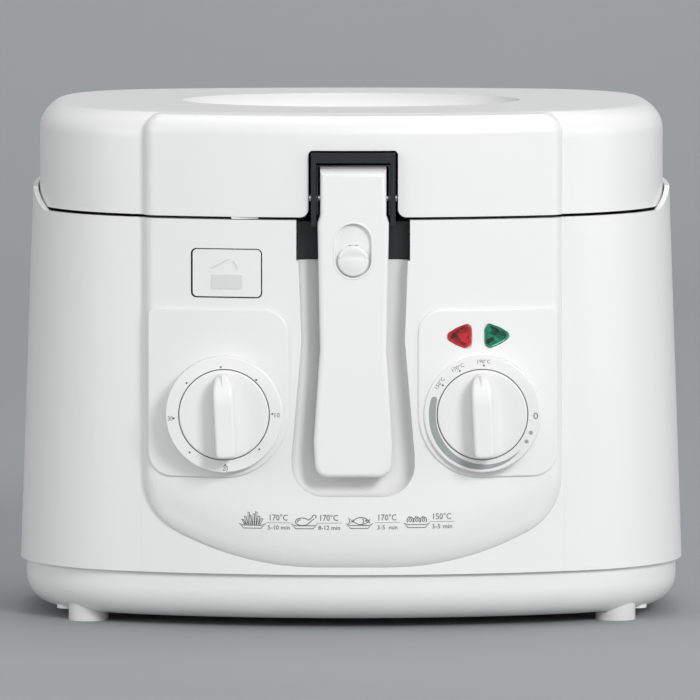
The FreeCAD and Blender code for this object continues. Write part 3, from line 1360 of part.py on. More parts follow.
# Lamp lenses and neon lamps
lens_form = fryer_form("lens_form", S.base_seam, side_rim, 0.0, S.bulge + S.lens_rise)
lens_back = S.front_reach - S.lens_deep
for tag, x, point in (("red", S.red_x, -1), ("green", S.green_x, 1)):
    prism = lamp_prism(tag + "_prism", x, point, NO_GROWTH, lens_back, S.front_reach / 2)
    part(common(tag + "_lens_solid", lens_form, prism), tag + "_lens")
neons = []
for tag, x in (("red", S.red_x), ("green", S.green_x)):
    neons.append(rod(tag + "_neon", S.lamp_radius, S.lamp_length, x, -lens_back, S.lamp_height, "y"))
part(group("neon_pair", *neons), "neon_lamps")

# Heating element, heat shield, fuse, terminal block and gland
element_z = pot_low - S.element_radius
ring_out = block_body("element_out", S.pot_width * 0.72 + 2 * S.element_radius,
                      S.pot_depth * 0.66 + 2 * S.element_radius, S.pot_corner, element_z - S.element_radius,
                      2 * S.element_radius, S.pot_centre)
fillet(ring_out, "element_out_round", S.element_radius * 0.95,
       lambda e: level(e, element_z.value - S.element_radius.value)
       or level(e, element_z.value + S.element_radius.value))
ring_in = block_body("element_in", S.pot_width * 0.72 - 2 * S.element_radius,
                     S.pot_depth * 0.66 - 2 * S.element_radius, S.pot_corner - 2 * S.element_radius,
                     element_z - 2 * S.element_radius, 4 * S.element_radius, S.pot_centre)
legs = []
for tag, side in (("left", -1), ("right", 1)):
    legs.append(rod("element_leg_" + tag, S.element_radius * 0.8, S.element_leg, side * S.element_pitch / 2,
                    S.pot_centre + S.pot_depth * 0.33, element_z - S.element_leg, "z"))
part(fuse("element_solid", cut("element_ring", ring_out, ring_in), *legs), "heating_element")
shield_z = element_z - S.element_radius - S.shield_gap
pan_width, pan_depth = S.pot_width + 2 * S.pan_spread, S.pot_depth + 2 * S.pan_spread
pan_corner = S.pot_corner + S.pan_corner
pan_out = block_body("heat_pan_out", pan_width, pan_depth, pan_corner, shield_z, S.pan_tall, S.pot_centre)
pan_in = block_body("heat_pan_in", pan_width - 2 * S.shield_thick, pan_depth - 2 * S.shield_thick,
                    pan_corner - S.shield_thick, shield_z + S.shield_thick, S.pan_tall, S.pot_centre)
leg_holes = []
for tag, side in (("left", -1), ("right", 1)):
    leg_holes.append(rod("heat_leg_hole_" + tag, S.element_radius * 1.3, S.pan_tall,
                         side * S.element_pitch / 2, S.pot_centre + S.pot_depth * 0.33,
                         shield_z - S.pan_tall / 2, "z"))
posts = []
for index, (x, y) in enumerate(spots):
    posts.append(rod("heat_post_%d" % index, S.heat_post, shield_z - S.base_bottom - S.wall,
                     x * S.pot_width * 0.4, S.pot_centre + y * S.pot_depth * 0.36,
                     S.base_bottom + S.wall, "z"))
part(fuse("heat_shield_solid", cut("heat_pan", pan_out, pan_in, *leg_holes), *posts), "heat_shield")
part(box("fuse_block", S.fuse_length, S.fuse_width, S.fuse_tall, S.fuse_x, S.pot_centre,
         shield_z + S.shield_thick), "thermal_fuse")
part(box("terminal_block_box", S.terminal_width, S.terminal_deep, S.terminal_tall, S.gland_x - S.terminal_side,
         S.rear_reach - S.terminal_inset, S.base_bottom + S.wall), "terminal_block")
gland_y = S.rear_reach - S.gland_inside
gland_core = rod("gland_core", S.gland_radius, S.gland_length, S.gland_x, gland_y, S.gland_height, "y")
gland_hole_cord = rod("gland_cord_hole", S.cord_radius, 2 * S.gland_length, S.gland_x,
                      gland_y - S.gland_length / 2, S.gland_height, "y")
part(cut("gland_solid", gland_core, gland_hole_cord), "cord_gland")
bulb_y = S.pot_centre - S.pot_depth * 0.2
bulb = rod("bulb_rod", S.bulb_radius, S.bulb_length, -S.bulb_length / 2, bulb_y,
           element_z + S.element_radius - S.bulb_radius, "x")
part(bulb, "thermostat_bulb")


def coil(name, radius, wire, turns, x, y, z, length):
    """Coil spring along the depth, one unbroken round wire."""
    item = doc.addObject("Part::Feature", name)
    pitch = (length - 2 * wire) / turns
    path = Part.makeHelix(pitch, length - 2 * wire, radius)
    ring = Part.Wire(Part.Circle(V(radius, 0, 0), V(0, 1, 0), wire).toShape())
    item.Shape = Part.Wire(path.Edges).makePipeShell([ring], True, True)
    item.Placement = FreeCAD.Placement(V(x, y, z), FreeCAD.Rotation(V(1, 0, 0), -90))
    return item


spring_x = S.button_x + S.spring_side
part(coil("latch_spring_wire", S.spring_radius.value, S.spring_wire.value, 4, -spring_x.value,
          (S.spring_wire - stem_back).value, S.button_height.value, S.spring_length.value), "latch_spring")
seat_y = -stem_back + S.spring_length + S.seat_thick / 2
seat_low = S.button_height - S.seat_drop
spring_pad = box("spring_wall", S.seat_width, S.seat_thick, S.seat_tall, -spring_x, seat_y,
                 S.button_height - S.seat_tall / 2)
spring_leg = box("spring_leg", S.seat_width, S.front_reach - stem_back + S.seat_run, S.seat_thick, -spring_x,
                 -(S.front_reach + stem_back - S.seat_run) / 2, seat_low)
spring_post = box("spring_post", S.seat_width, S.seat_thick, S.seat_drop - S.spring_radius, -spring_x, seat_y,
                  seat_low)
spring_seat = fuse("spring_seat_sum", spring_pad, spring_leg, spring_post)
part(common("spring_seat_solid", spring_seat, inner_form), "spring_seat")

# Recompute, check and write every piece
doc.recompute()
for item in doc.Objects:
    if "Invalid" in item.State or "Error" in item.State:
        raise RuntimeError("%s did not rebuild" % item.Name)
os.makedirs("parts", exist_ok=True)
for item in PARTS:
    if item.Shape.isNull() or not item.Shape.isValid():
        raise RuntimeError("%s has no sound shape" % item.Label)
    item.Shape.exportStep("parts/%s.step" % item.Label)
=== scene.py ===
import json
import math

import bmesh
import bpy
from bpy.props import FloatProperty, FloatVectorProperty, PointerProperty
from mathutils import Matrix, Vector

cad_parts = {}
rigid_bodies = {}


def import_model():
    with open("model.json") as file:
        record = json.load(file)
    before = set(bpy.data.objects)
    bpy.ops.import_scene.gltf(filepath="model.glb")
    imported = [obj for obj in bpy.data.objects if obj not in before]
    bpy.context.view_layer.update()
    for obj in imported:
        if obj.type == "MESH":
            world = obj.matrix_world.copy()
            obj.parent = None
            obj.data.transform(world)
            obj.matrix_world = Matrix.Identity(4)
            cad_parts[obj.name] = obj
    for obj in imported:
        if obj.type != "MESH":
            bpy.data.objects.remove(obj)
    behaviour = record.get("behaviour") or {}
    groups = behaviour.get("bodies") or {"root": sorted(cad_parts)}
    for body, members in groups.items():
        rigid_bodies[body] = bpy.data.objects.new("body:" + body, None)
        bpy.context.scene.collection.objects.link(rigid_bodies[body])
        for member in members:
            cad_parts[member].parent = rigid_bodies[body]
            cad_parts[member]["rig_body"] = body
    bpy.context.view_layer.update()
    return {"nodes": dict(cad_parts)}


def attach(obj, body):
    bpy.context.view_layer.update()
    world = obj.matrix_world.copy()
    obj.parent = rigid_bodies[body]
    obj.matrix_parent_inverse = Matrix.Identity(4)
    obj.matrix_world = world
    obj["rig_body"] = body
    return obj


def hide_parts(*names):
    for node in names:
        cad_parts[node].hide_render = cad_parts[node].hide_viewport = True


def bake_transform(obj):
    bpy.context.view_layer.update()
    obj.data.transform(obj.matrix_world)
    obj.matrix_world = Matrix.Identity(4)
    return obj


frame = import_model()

bl_info = {
    "name": "Deep Fryer",
    "version": (1, 0, 0),
    "blender": (4, 5, 0),
    "location": "View3D > Sidebar > Fryer",
    "description": "Dresses the deep fryer: plastics, printed scales, lamps, basket and stage",
    "category": "Object",
}

MM = 0.001
NODES = frame["nodes"]

# Distances in metres under which two places count as one
JOIN = 2e-6  # loose corners of a CAD node
SNAP = 1e-6  # a vertex and the cut that it lies on
HAIR = 1e-7  # corners of drawn lines and of fine cuts


class FryerSizes(bpy.types.PropertyGroup):
    """Sizes of the printed marks and soft forms, and the places they sit on."""

    dial_offset: FloatProperty(
        name="Dial offset", description="Distance of each dial from the middle", default=64.5 * MM,
        unit="LENGTH")
    dial_height: FloatProperty(
        name="Dial height", description="Height of the dial centres", default=109.1 * MM, unit="LENGTH")
    dial_face: FloatProperty(
        name="Dial face", description="Depth of the flat dial face", default=-122.25 * MM, unit="LENGTH")
    dot_ring: FloatProperty(
        name="Dot ring", description="Radius on which the scale dots sit", default=24.6 * MM, unit="LENGTH")
    word_ring: FloatProperty(
        name="Word ring", description="Radius on which the scale numbers sit", default=26.6 * MM,
        unit="LENGTH")
    bow: FloatProperty(
        name="Bow", description="Radius of the bowed front", default=295.0 * MM, unit="LENGTH")
    bow_front: FloatProperty(
        name="Bow front", description="Reach of the bowed shield at its foot", default=122.0 * MM,
        unit="LENGTH")
    lean: FloatProperty(
        name="Lean", description="Slope of the front towards the back", default=1.5 / 188.6)
    foot: FloatProperty(
        name="Foot", description="Height at which the bowed front starts", default=28.0 * MM, unit="LENGTH")
    seam_place: FloatProperty(
        name="Seam place", description="Distance of the panel's seams from the middle", default=106.1 * MM,
        unit="LENGTH")
    guide_height: FloatProperty(
        name="Guide height", description="Height of the cooking guide's dividing lines", default=54.7 * MM,
        unit="LENGTH")
    handle_face: FloatProperty(
        name="Handle face", description="Depth of the handle's front face", default=-126.0 * MM,
        unit="LENGTH")
    slot_height: FloatProperty(
        name="Slot height", description="Middle of the lock's slot", default=191.3 * MM, unit="LENGTH")
    slot_length: FloatProperty(
        name="Slot length", description="Length of the lock's slot", default=27.0 * MM, unit="LENGTH")
    lock_face: FloatProperty(
        name="Lock face", description="Depth of the lock's front face", default=-126.6 * MM, unit="LENGTH")
    lock_height: FloatProperty(
        name="Lock height", description="Middle of the lock at rest", default=186.2 * MM, unit="LENGTH")
    button_x: FloatProperty(
        name="Button place", description="Middle of the release button", default=-63.2 * MM, unit="LENGTH")
    button_height: FloatProperty(
        name="Button height", description="Height of the release button", default=179.3 * MM, unit="LENGTH")
    chin_low: FloatProperty(
        name="Chin low", description="Height of the shield's lowest edge", default=30.9 * MM, unit="LENGTH")
    chin_flat: FloatProperty(
        name="Chin flat", description="Half length of the shield's level lower edge", default=18.0 * MM,
        unit="LENGTH")
    chin_arc: FloatProperty(
        name="Chin arc", description="Radius of the shield's lower edge", default=150.0 * MM, unit="LENGTH")
    chin_corner: FloatProperty(
        name="Chin corner", description="Radius of the shield's lower corners", default=32.0 * MM,
        unit="LENGTH")
    chin_half: FloatProperty(
        name="Chin half", description="Half width of the shield", default=105.0 * MM, unit="LENGTH")
    chin_edge: FloatProperty(
        name="Chin edge", description="Rounding of the shield's edge", default=10.0 * MM, unit="LENGTH")
    chin_reach: FloatProperty(
        name="Chin reach", description="Width of the soft rounding along the chin", default=26.0 * MM,
        unit="LENGTH")
    chin_sink: FloatProperty(
        name="Chin sink", description="Depth of the soft rounding along the chin", default=8.0 * MM,
        unit="LENGTH")
    chin_fade: FloatProperty(
        name="Chin fade", description="Height at which the soft rounding has faded out", default=78.0 * MM,
        unit="LENGTH")
    knob_face: FloatProperty(
        name="Knob face", description="Depth of the knobs' flat discs", default=-123.45 * MM, unit="LENGTH")
    grip_face: FloatProperty(
        name="Grip face", description="Depth of the knobs' grips", default=-138.0 * MM, unit="LENGTH")
    grip_turn: FloatProperty(
        name="Grip turn", description="Turn of the knobs as they stand", default=math.radians(2.7),
        subtype="ANGLE")
    ink_height: FloatProperty(
        name="Ink height", description="Thickness of the printed ink", default=0.05 * MM, unit="LENGTH")


class FryerColours(bpy.types.PropertyGroup):
    """Colours of the fryer's finishes."""

    white: FloatVectorProperty(
        name="White", description="Housing and lid plastic", default=(0.83, 0.833, 0.828), size=3,
        subtype="COLOR")
    black: FloatVectorProperty(
        name="Black", description="Bracket plastic", default=(0.0075, 0.0105, 0.012), size=3, subtype="COLOR")
    ink: FloatVectorProperty(
        name="Ink", description="Broad printed marks", default=(0.33, 0.355, 0.35), size=3, subtype="COLOR")
    fine_ink: FloatVectorProperty(
        name="Fine ink", description="Thin printed lines and numbers", default=(0.10, 0.11, 0.11), size=3,
        subtype="COLOR")
    red: FloatVectorProperty(
        name="Red", description="Mains lamp lens", default=(0.60, 0.010, 0.018), size=3, subtype="COLOR")
    green: FloatVectorProperty(
        name="Green", description="Heating lamp lens", default=(0.0, 0.25, 0.13), size=3, subtype="COLOR")


def sizes():
    return bpy.context.scene.fryer_sizes


def colours():
    return bpy.context.scene.fryer_colours


# Materials

def grain_group():
    """Fine moulded grain: a faint tint, an uneven roughness and a low bump height."""
    name = "Moulded grain"
    if name in bpy.data.node_groups:
        return bpy.data.node_groups[name]
    tree = bpy.data.node_groups.new(name, "ShaderNodeTree")
    for label, kind, way in (
            ("Colour", "NodeSocketColor", "INPUT"), ("Scale", "NodeSocketFloat", "INPUT"),
            ("Low roughness", "NodeSocketFloat", "INPUT"), ("High roughness", "NodeSocketFloat", "INPUT"),
            ("Colour", "NodeSocketColor", "OUTPUT"), ("Roughness", "NodeSocketFloat", "OUTPUT"),
            ("Height", "NodeSocketFloat", "OUTPUT")):
        tree.interface.new_socket(name=label, in_out=way, socket_type=kind)
    start = tree.nodes.new("NodeGroupInput")
    stop = tree.nodes.new("NodeGroupOutput")
    place = tree.nodes.new("ShaderNodeTexCoord")
    fine = tree.nodes.new("ShaderNodeTexNoise")
    fine.inputs["Detail"].default_value = 2.0
    broad = tree.nodes.new("ShaderNodeTexNoise")
    broad.inputs["Scale"].default_value = 9.0
    broad.inputs["Detail"].default_value = 3.0
    tint = tree.nodes.new("ShaderNodeMix")
    tint.data_type = "RGBA"
    tint.blend_type = "MULTIPLY"
    shade = tree.nodes.new("ShaderNodeMapRange")
    shade.inputs["To Min"].default_value = 0.0
    shade.inputs["To Max"].default_value = 0.12
    rough = tree.nodes.new("ShaderNodeMapRange")
    link = tree.links.new
    link(place.outputs["Object"], fine.inputs["Vector"])
    link(place.outputs["Object"], broad.inputs["Vector"])
    link(start.outputs["Scale"], fine.inputs["Scale"])
    link(broad.outputs["Fac"], shade.inputs["Value"])
    link(shade.outputs["Result"], tint.inputs["Factor"])
    link(start.outputs["Colour"], tint.inputs["A"])
    tint.inputs["B"].default_value = (0.86, 0.86, 0.84, 1.0)
    link(tint.outputs["Result"], stop.inputs["Colour"])
    link(broad.outputs["Fac"], rough.inputs["Value"])
    link(start.outputs["Low roughness"], rough.inputs["To Min"])
    link(start.outputs["High roughness"], rough.inputs["To Max"])
    link(rough.outputs["Result"], stop.inputs["Roughness"])
    link(fine.outputs["Fac"], stop.inputs["Height"])
    return tree


def finish(name, colour, rough, scale, bump, metal=0.0, specular=0.5, transmission=0.0):
    """A finish of the fryer: a Principled shader fed by the moulded grain group."""
    if name in bpy.data.materials:
        return bpy.data.materials[name]
    material = bpy.data.materials.new(name)
    material.use_nodes = True
    tree = material.node_tree
    shader = tree.nodes["Principled BSDF"]
    grain = tree.nodes.new("ShaderNodeGroup")
    grain.node_tree = grain_group()
    grain.inputs["Colour"].default_value = (*colour, 1.0)
    grain.inputs["Scale"].default_value = scale
    grain.inputs["Low roughness"].default_value = rough[0]
    grain.inputs["High roughness"].default_value = rough[1]
    lift = tree.nodes.new("ShaderNodeBump")
    lift.inputs["Strength"].default_value = bump
    lift.inputs["Distance"].default_value = 0.2 * MM
    tree.links.new(grain.outputs["Colour"], shader.inputs["Base Color"])
    tree.links.new(grain.outputs["Roughness"], shader.inputs["Roughness"])
    tree.links.new(grain.outputs["Height"], lift.inputs["Height"])
    tree.links.new(lift.outputs["Normal"], shader.inputs["Normal"])
    shader.inputs["Metallic"].default_value = metal
    shader.inputs["Specular IOR Level"].default_value = specular
    shader.inputs["Transmission Weight"].default_value = transmission
    return material


def facet_shade_finish(name, colour):
    """Dark faceted inside of a lamp lens, with painted shade and painted highlight: broken cells between a
    dark and a light depth of its colour.
    """
    if name in bpy.data.materials:
        return bpy.data.materials[name]
    material = finish(name, colour, rough=(0.25, 0.4), scale=300.0, bump=0.0)
    tree = material.node_tree
    shader = tree.nodes["Principled BSDF"]
    place = tree.nodes.new("ShaderNodeTexCoord")
    cells = tree.nodes.new("ShaderNodeTexVoronoi")
    cells.inputs["Scale"].default_value = 430.0
    ramp = tree.nodes.new("ShaderNodeValToRGB")
    # the dark end is painted shade and the light end a painted highlight in the lens's facets
    dark, light = ramp.color_ramp.elements
    dark.color = (*[part * 0.08 for part in colour], 1.0)
    dark.position = 0.25
    light.color = (*colour, 1.0)
    light.position = 0.95
    lift = tree.nodes.new("ShaderNodeBump")
    lift.inputs["Strength"].default_value = 0.12
    lift.inputs["Distance"].default_value = 0.6 * MM
    tree.links.new(place.outputs["Object"], cells.inputs["Vector"])
    tree.links.new(cells.outputs["Color"], ramp.inputs["Fac"])
    tree.links.new(ramp.outputs["Color"], shader.inputs["Base Color"])
    tree.links.new(cells.outputs["Distance"], lift.inputs["Height"])
    tree.links.new(lift.outputs["Normal"], shader.inputs["Normal"])
    return material


def white_plastic():
    return finish("White moulded plastic", colours().white, rough=(0.27, 0.35), scale=1400.0, bump=0.02)


def black_plastic():
    return finish("Black moulded plastic", colours().black, rough=(0.36, 0.48), scale=1500.0, bump=0.05,
                  specular=0.4)


def broad_ink():
    return finish("Grey scale ink", colours().ink, rough=(0.5, 0.6), scale=2500.0, bump=0.02)


def fine_ink():
    return finish("Fine grey ink", colours().fine_ink, rough=(0.5, 0.6), scale=2500.0, bump=0.02)


def bright_steel():
    return finish("Bright steel", (0.6, 0.6, 0.6), rough=(0.16, 0.26), scale=700.0, bump=0.02, metal=1.0)


# Building blocks

def merged_copy(node, *materials, angle=32.0, work=None, spring=None):
    """A smooth, merged copy that stands for a CAD node; a spring's copy stays in place, on no body."""
    source = NODES[node]
    mesh = source.data.copy()
    mesh.name = node + "_smooth"
    mesh.materials.clear()
    for material in materials:
        mesh.materials.append(material)
    made = bmesh.new()
    made.from_mesh(mesh)
    bmesh.ops.remove_doubles(made, verts=made.verts, dist=JOIN)
    bmesh.ops.dissolve_degenerate(made, edges=made.edges, dist=HAIR)
    for face in made.faces:
        face.smooth = True
        face.material_index = 0
    if work:
        work(made)
    limit = math.radians(angle)
    for edge in made.edges:
        edge.smooth = len(edge.link_faces) == 2 and edge.calc_face_angle() < limit
    made.to_mesh(mesh)
    made.free()
    item = bpy.data.objects.new(node + "_skin", mesh)
    bpy.context.scene.collection.objects.link(item)
    even = item.modifiers.new("Even normals", "WEIGHTED_NORMAL")
    even.keep_sharp = True
    even.weight = 80
    if spring:
        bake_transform(item)
    else:
        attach(item, source["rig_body"])
    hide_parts(node)
    return item


def piece(name, made, material, body, smooth=True):
    """Turn a bmesh into a piece that rides on a body."""
    bmesh.ops.recalc_face_normals(made, faces=made.faces)
    mesh = bpy.data.meshes.new(name)
    for face in made.faces:
        face.smooth = smooth
    made.to_mesh(mesh)
    made.free()
    mesh.materials.append(material)
    item = bpy.data.objects.new(name, mesh)
    bpy.context.scene.collection.objects.link(item)
    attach(item, body)
    return item


def front_plane(x, y, z, turn=0.0):
    """Matrix that stands a flat drawing up on the front, turned anticlockwise for the viewer."""
    upright = Matrix.Rotation(math.radians(90), 4, "X")
    return Matrix.Translation((x, y, z)) @ upright @ Matrix.Rotation(turn, 4, "Z")


def curve_mesh(curve):
    """Make a curve or text into a bmesh and drop the curve."""
    item = bpy.data.objects.new(curve.name, curve)
    bpy.context.scene.collection.objects.link(item)
    bpy.context.view_layer.update()
    mesh = bpy.data.meshes.new_from_object(item)
    bpy.data.objects.remove(item)
    bpy.data.curves.remove(curve)
    made = bmesh.new()
    made.from_mesh(mesh)
    bpy.data.meshes.remove(mesh)
    bmesh.ops.remove_doubles(made, verts=made.verts, dist=HAIR)
    return made


def thicken(made, faces, height):
    """Lift flat faces into a plate of a given height, and give back its upper corners."""
    grown = bmesh.ops.extrude_face_region(made, geom=faces)
    moved = [v for v in grown["geom"] if isinstance(v, bmesh.types.BMVert)]
    bmesh.ops.translate(made, verts=moved, vec=(0, 0, height))
    return moved


def everything(made):
    """All of a bmesh, for a cut right through it."""
    return made.verts[:] + made.edges[:] + made.faces[:]


def words(text, height, wide=None):
    """Flat printed words of a given cap height, squeezed to a width if one is given."""
    size_over_cap = 1.4
    curve = bpy.data.curves.new("words", "FONT")
    curve.body = text
    curve.size = height * size_over_cap
    curve.align_x = "CENTER"
    curve.align_y = "CENTER"
    curve.resolution_u = 2
    made = curve_mesh(curve)
    across = [v.co.x for v in made.verts]
    along = [v.co.y for v in made.verts]
    left, right, low, high = min(across), max(across), min(along), max(along)
    scale_y = height / (high - low)
    scale_x = wide / (right - left) if wide else scale_y
    middle = Matrix.Translation((-(left + right) / 2, -(low + high) / 2, 0))
    bmesh.ops.transform(made, matrix=Matrix.Diagonal((scale_x, scale_y, 1, 1)) @ middle, verts=made.verts)
    thicken(made, made.faces[:], sizes().ink_height)
    return made


def lettering(name, text, height, wide, matrix):
    """Printed words placed by a matrix."""
    made = words(text, height, wide)
    bmesh.ops.transform(made, matrix=matrix, verts=made.verts)
    return piece(name, made, fine_ink(), "body", smooth=False)


def dot(made, radius, matrix):
    """Add a thin round dot to a bmesh."""
    disc = bmesh.ops.create_circle(made, cap_ends=True, radius=radius, segments=24)
    faces = list({f for v in disc["verts"] for f in v.link_faces})
    top = thicken(made, faces, sizes().ink_height)
    bmesh.ops.transform(made, matrix=matrix, verts=list(set(disc["verts"] + top)))


def dial_spot(side, clock, radius, shift=(0.0, 0.0)):
    """Point on a dial face: clock is degrees clockwise from the top."""
    turn = math.radians(clock)
    return Vector((
        side * sizes().dial_offset + shift[0] + radius * math.sin(turn), sizes().dial_face,
        sizes().dial_height + shift[1] + radius * math.cos(turn)))


def chin_sag(x, z):
    """How far the soft chin lies behind the shield's moulded edge at a place on the front."""
    s = sizes()
    fade_span = 22 * MM
    reach, offset = s.chin_arc - s.chin_corner, s.chin_half - s.chin_corner - s.chin_flat
    drop = math.sqrt(reach ** 2 - offset ** 2)
    side = s.chin_low + s.chin_arc - drop
    across, up = abs(x) - s.chin_half + s.chin_corner, z - side
    if up >= 0:
        inside = s.chin_half - abs(x)
    elif across > 0 and across * drop > -up * offset:
        inside = s.chin_corner - math.hypot(across, up)
    elif abs(x) > s.chin_flat:
        inside = s.chin_arc - math.hypot(abs(x) - s.chin_flat, z - s.chin_low - s.chin_arc)
    else:
        inside = z - s.chin_low
    inside = min(max(inside, 0.0), s.chin_reach)
    soft = s.chin_sink * (1 - math.sqrt(1 - (1 - inside / s.chin_reach) ** 2))
    hard = s.chin_edge - math.sqrt(s.chin_edge ** 2 - max(s.chin_edge - inside, 0.0) ** 2)
    fade = min(max((s.chin_fade - z) / fade_span, 0.0), 1.0)
    return max(soft - hard, 0.0) * fade * fade * (3 - 2 * fade)


def lay_on_front(made, x, z, lift=0.0, proud=0.0):
    """Bend a flat drawing onto the bowed front, with its middle at x and z.

    The drawing lies lift above a face that stands proud of the shield, or behind it where proud is negative.
    """
    s = sizes()
    for vert in made.verts:
        across, up, out = x + vert.co.x, z + vert.co.y, vert.co.z
        back = s.bow - s.bow_front - proud + s.lean * (up - s.foot)
        sag = chin_sag(across, up) if proud >= 0 else 0.0
        vert.co = (across, back - math.sqrt(s.bow ** 2 - across ** 2) - out - lift + sag, up)


def strokes(name, lines, width, roundness=0):
    """Drawn lines of points in millimetres, closed where they end as they start; round ones stand higher."""
    curve = bpy.data.curves.new(name, "CURVE")
    curve.dimensions = "3D"
    curve.bevel_depth = width / 2
    curve.bevel_resolution = roundness
    for points in lines:
        closed = points[0] == points[-1]
        used = points[:-1] if closed else points
        spline = curve.splines.new("POLY")
        spline.points.add(len(used) - 1)
        for spot, (x, y) in zip(spline.points, used):
            spot.co = (x * MM, y * MM, 0, 1)
        spline.use_cyclic_u = closed
    made = curve_mesh(curve)
    flatten = 0.5 if roundness else 0.25
    bmesh.ops.scale(made, vec=(1, 1, flatten), verts=made.verts)
    return made


def arc(x, y, rx, ry, first, last, steps=14):
    """Points of an oval arc, in degrees anticlockwise from the right."""
    turns = [math.radians(first + (last - first) * step / steps) for step in range(steps + 1)]
    return [(round(x + rx * math.cos(t), 4), round(y + ry * math.sin(t), 4)) for t in turns]


def slab(name, outline, deep, edge):
    """Solid plate of an outline in millimetres, with soft edges, centred on its depth."""
    curve = bpy.data.curves.new(name, "CURVE")
    curve.dimensions = "2D"
    curve.fill_mode = "BOTH"
    curve.bevel_depth = edge
    curve.bevel_resolution = 6
    curve.offset = -edge
    curve.extrude = deep / 2 - edge
    spline = curve.splines.new("POLY")
    spline.points.add(len(outline) - 1)
    for spot, (x, y) in zip(spline.points, outline):
        spot.co = (x * MM, y * MM, 0, 1)
    spline.use_cyclic_u = True
    return curve_mesh(curve)


def add_to(made, extra):
    """Move one bmesh into another."""
    mesh = bpy.data.meshes.new("extra")
    extra.to_mesh(mesh)
    extra.free()
    made.from_mesh(mesh)
    bpy.data.meshes.remove(mesh)


# Operators

class FRYER_OT_shell(bpy.types.Operator):
    """Housing, front panel, base and lid in white plastic"""

    bl_idname = "fryer.shell"
    bl_label = "Shell"

    def execute(self, context):
        white = white_plastic()
        for node in ("housing", "base_tray", "lid_cover", "lid_liner", "lid_catch", "latch_hook",
                     "rim_collar", "spring_seat"):
            merged_copy(node, white)
        merged_copy("front_panel", white, work=self.soften_chin)
        merged_copy("release_button", white, work=self.ease_button)
        seam_line, seam_width = [(0, 0.5), (0, 177.5)], 0.5 * MM
        seam_lift, behind_shield = -0.25 * MM, -6.0 * MM
        for tag, side in (("left", -1), ("right", 1)):
            made = strokes("panel_seam_" + tag, [seam_line], seam_width, 2)
            bmesh.ops.subdivide_edges(made, edges=made.edges[:], cuts=3)
            lay_on_front(made, side * sizes().seam_place, sizes().foot, seam_lift, behind_shield)
            piece("panel_seam_" + tag, made, white, "body")
        rubber = finish("Foot rubber", (0.70, 0.70, 0.69), rough=(0.5, 0.65), scale=900.0, bump=0.1)
        merged_copy("feet", rubber)
        self.catch_tab()
        return {"FINISHED"}

    @staticmethod
    def soften_chin(made):
        """Cut the shield's lower front into strips and round it softly towards its edge."""
        s = sizes()
        levels, columns = range(32, 78, 2), range(-102, 103, 4)
        outward, foremost, skin = -0.2, -100 * MM, 6.5 * MM
        cuts = [((0, 0, z * MM), (0, 0, 1)) for z in levels]
        cuts += [((x * MM, 0, 0), (1, 0, 0)) for x in columns]
        for spot, normal in cuts:
            zone = [f for f in made.faces if f.normal.y < outward and f.calc_center_median().z < s.chin_fade
                    and f.calc_center_median().y < foremost]
            geom = set(zone)
            for face in zone:
                geom.update(face.edges)
                geom.update(face.verts)
            bmesh.ops.bisect_plane(made, geom=list(geom), plane_co=spot, plane_no=normal, dist=SNAP)
        for vert in made.verts:
            back = s.bow - s.bow_front + s.lean * (vert.co.z - s.foot)
            front = back - math.sqrt(s.bow ** 2 - vert.co.x ** 2)
            if abs(vert.co.x) < s.chin_half and vert.co.y < front + skin:
                vert.co.y += chin_sag(vert.co.x, vert.co.z)

    @staticmethod
    def ease_button(made):
        """Draw the release button in from its hole, a little more on the left and below."""
        shrink, shift = (0.985, 1, 0.987), (0.15 * MM, 0, 0.1 * MM)
        middle = Matrix.Translation((-sizes().button_x, 0, -sizes().button_height))
        bmesh.ops.scale(made, vec=shrink, space=middle, verts=made.verts)
        bmesh.ops.translate(made, vec=shift, verts=made.verts)

    def catch_tab(self):
        """White tab of the lid's catch that shows in the seam below the lid."""
        size, place = (13.5 * MM, 3.5 * MM, 2.4 * MM), (-54 * MM, -112.4 * MM, 206.4 * MM)
        rounding, corner = 0.2 * MM, math.radians(60)
        made = bmesh.new()
        bmesh.ops.create_grid(made, x_segments=6, y_segments=2, size=0.5)
        thicken(made, made.faces[:], 1)
        bmesh.ops.scale(made, vec=size, verts=made.verts)
        bmesh.ops.translate(made, verts=made.verts, vec=place)
        bmesh.ops.recalc_face_normals(made, faces=made.faces)
        corners = [e for e in made.edges if len(e.link_faces) == 2 and e.calc_face_angle() > corner]
        bmesh.ops.bevel(made, geom=corners, offset=rounding, segments=2, profile=0.5, affect="EDGES",
                        material=-1)
        piece("catch_tab", made, white_plastic(), "lid")


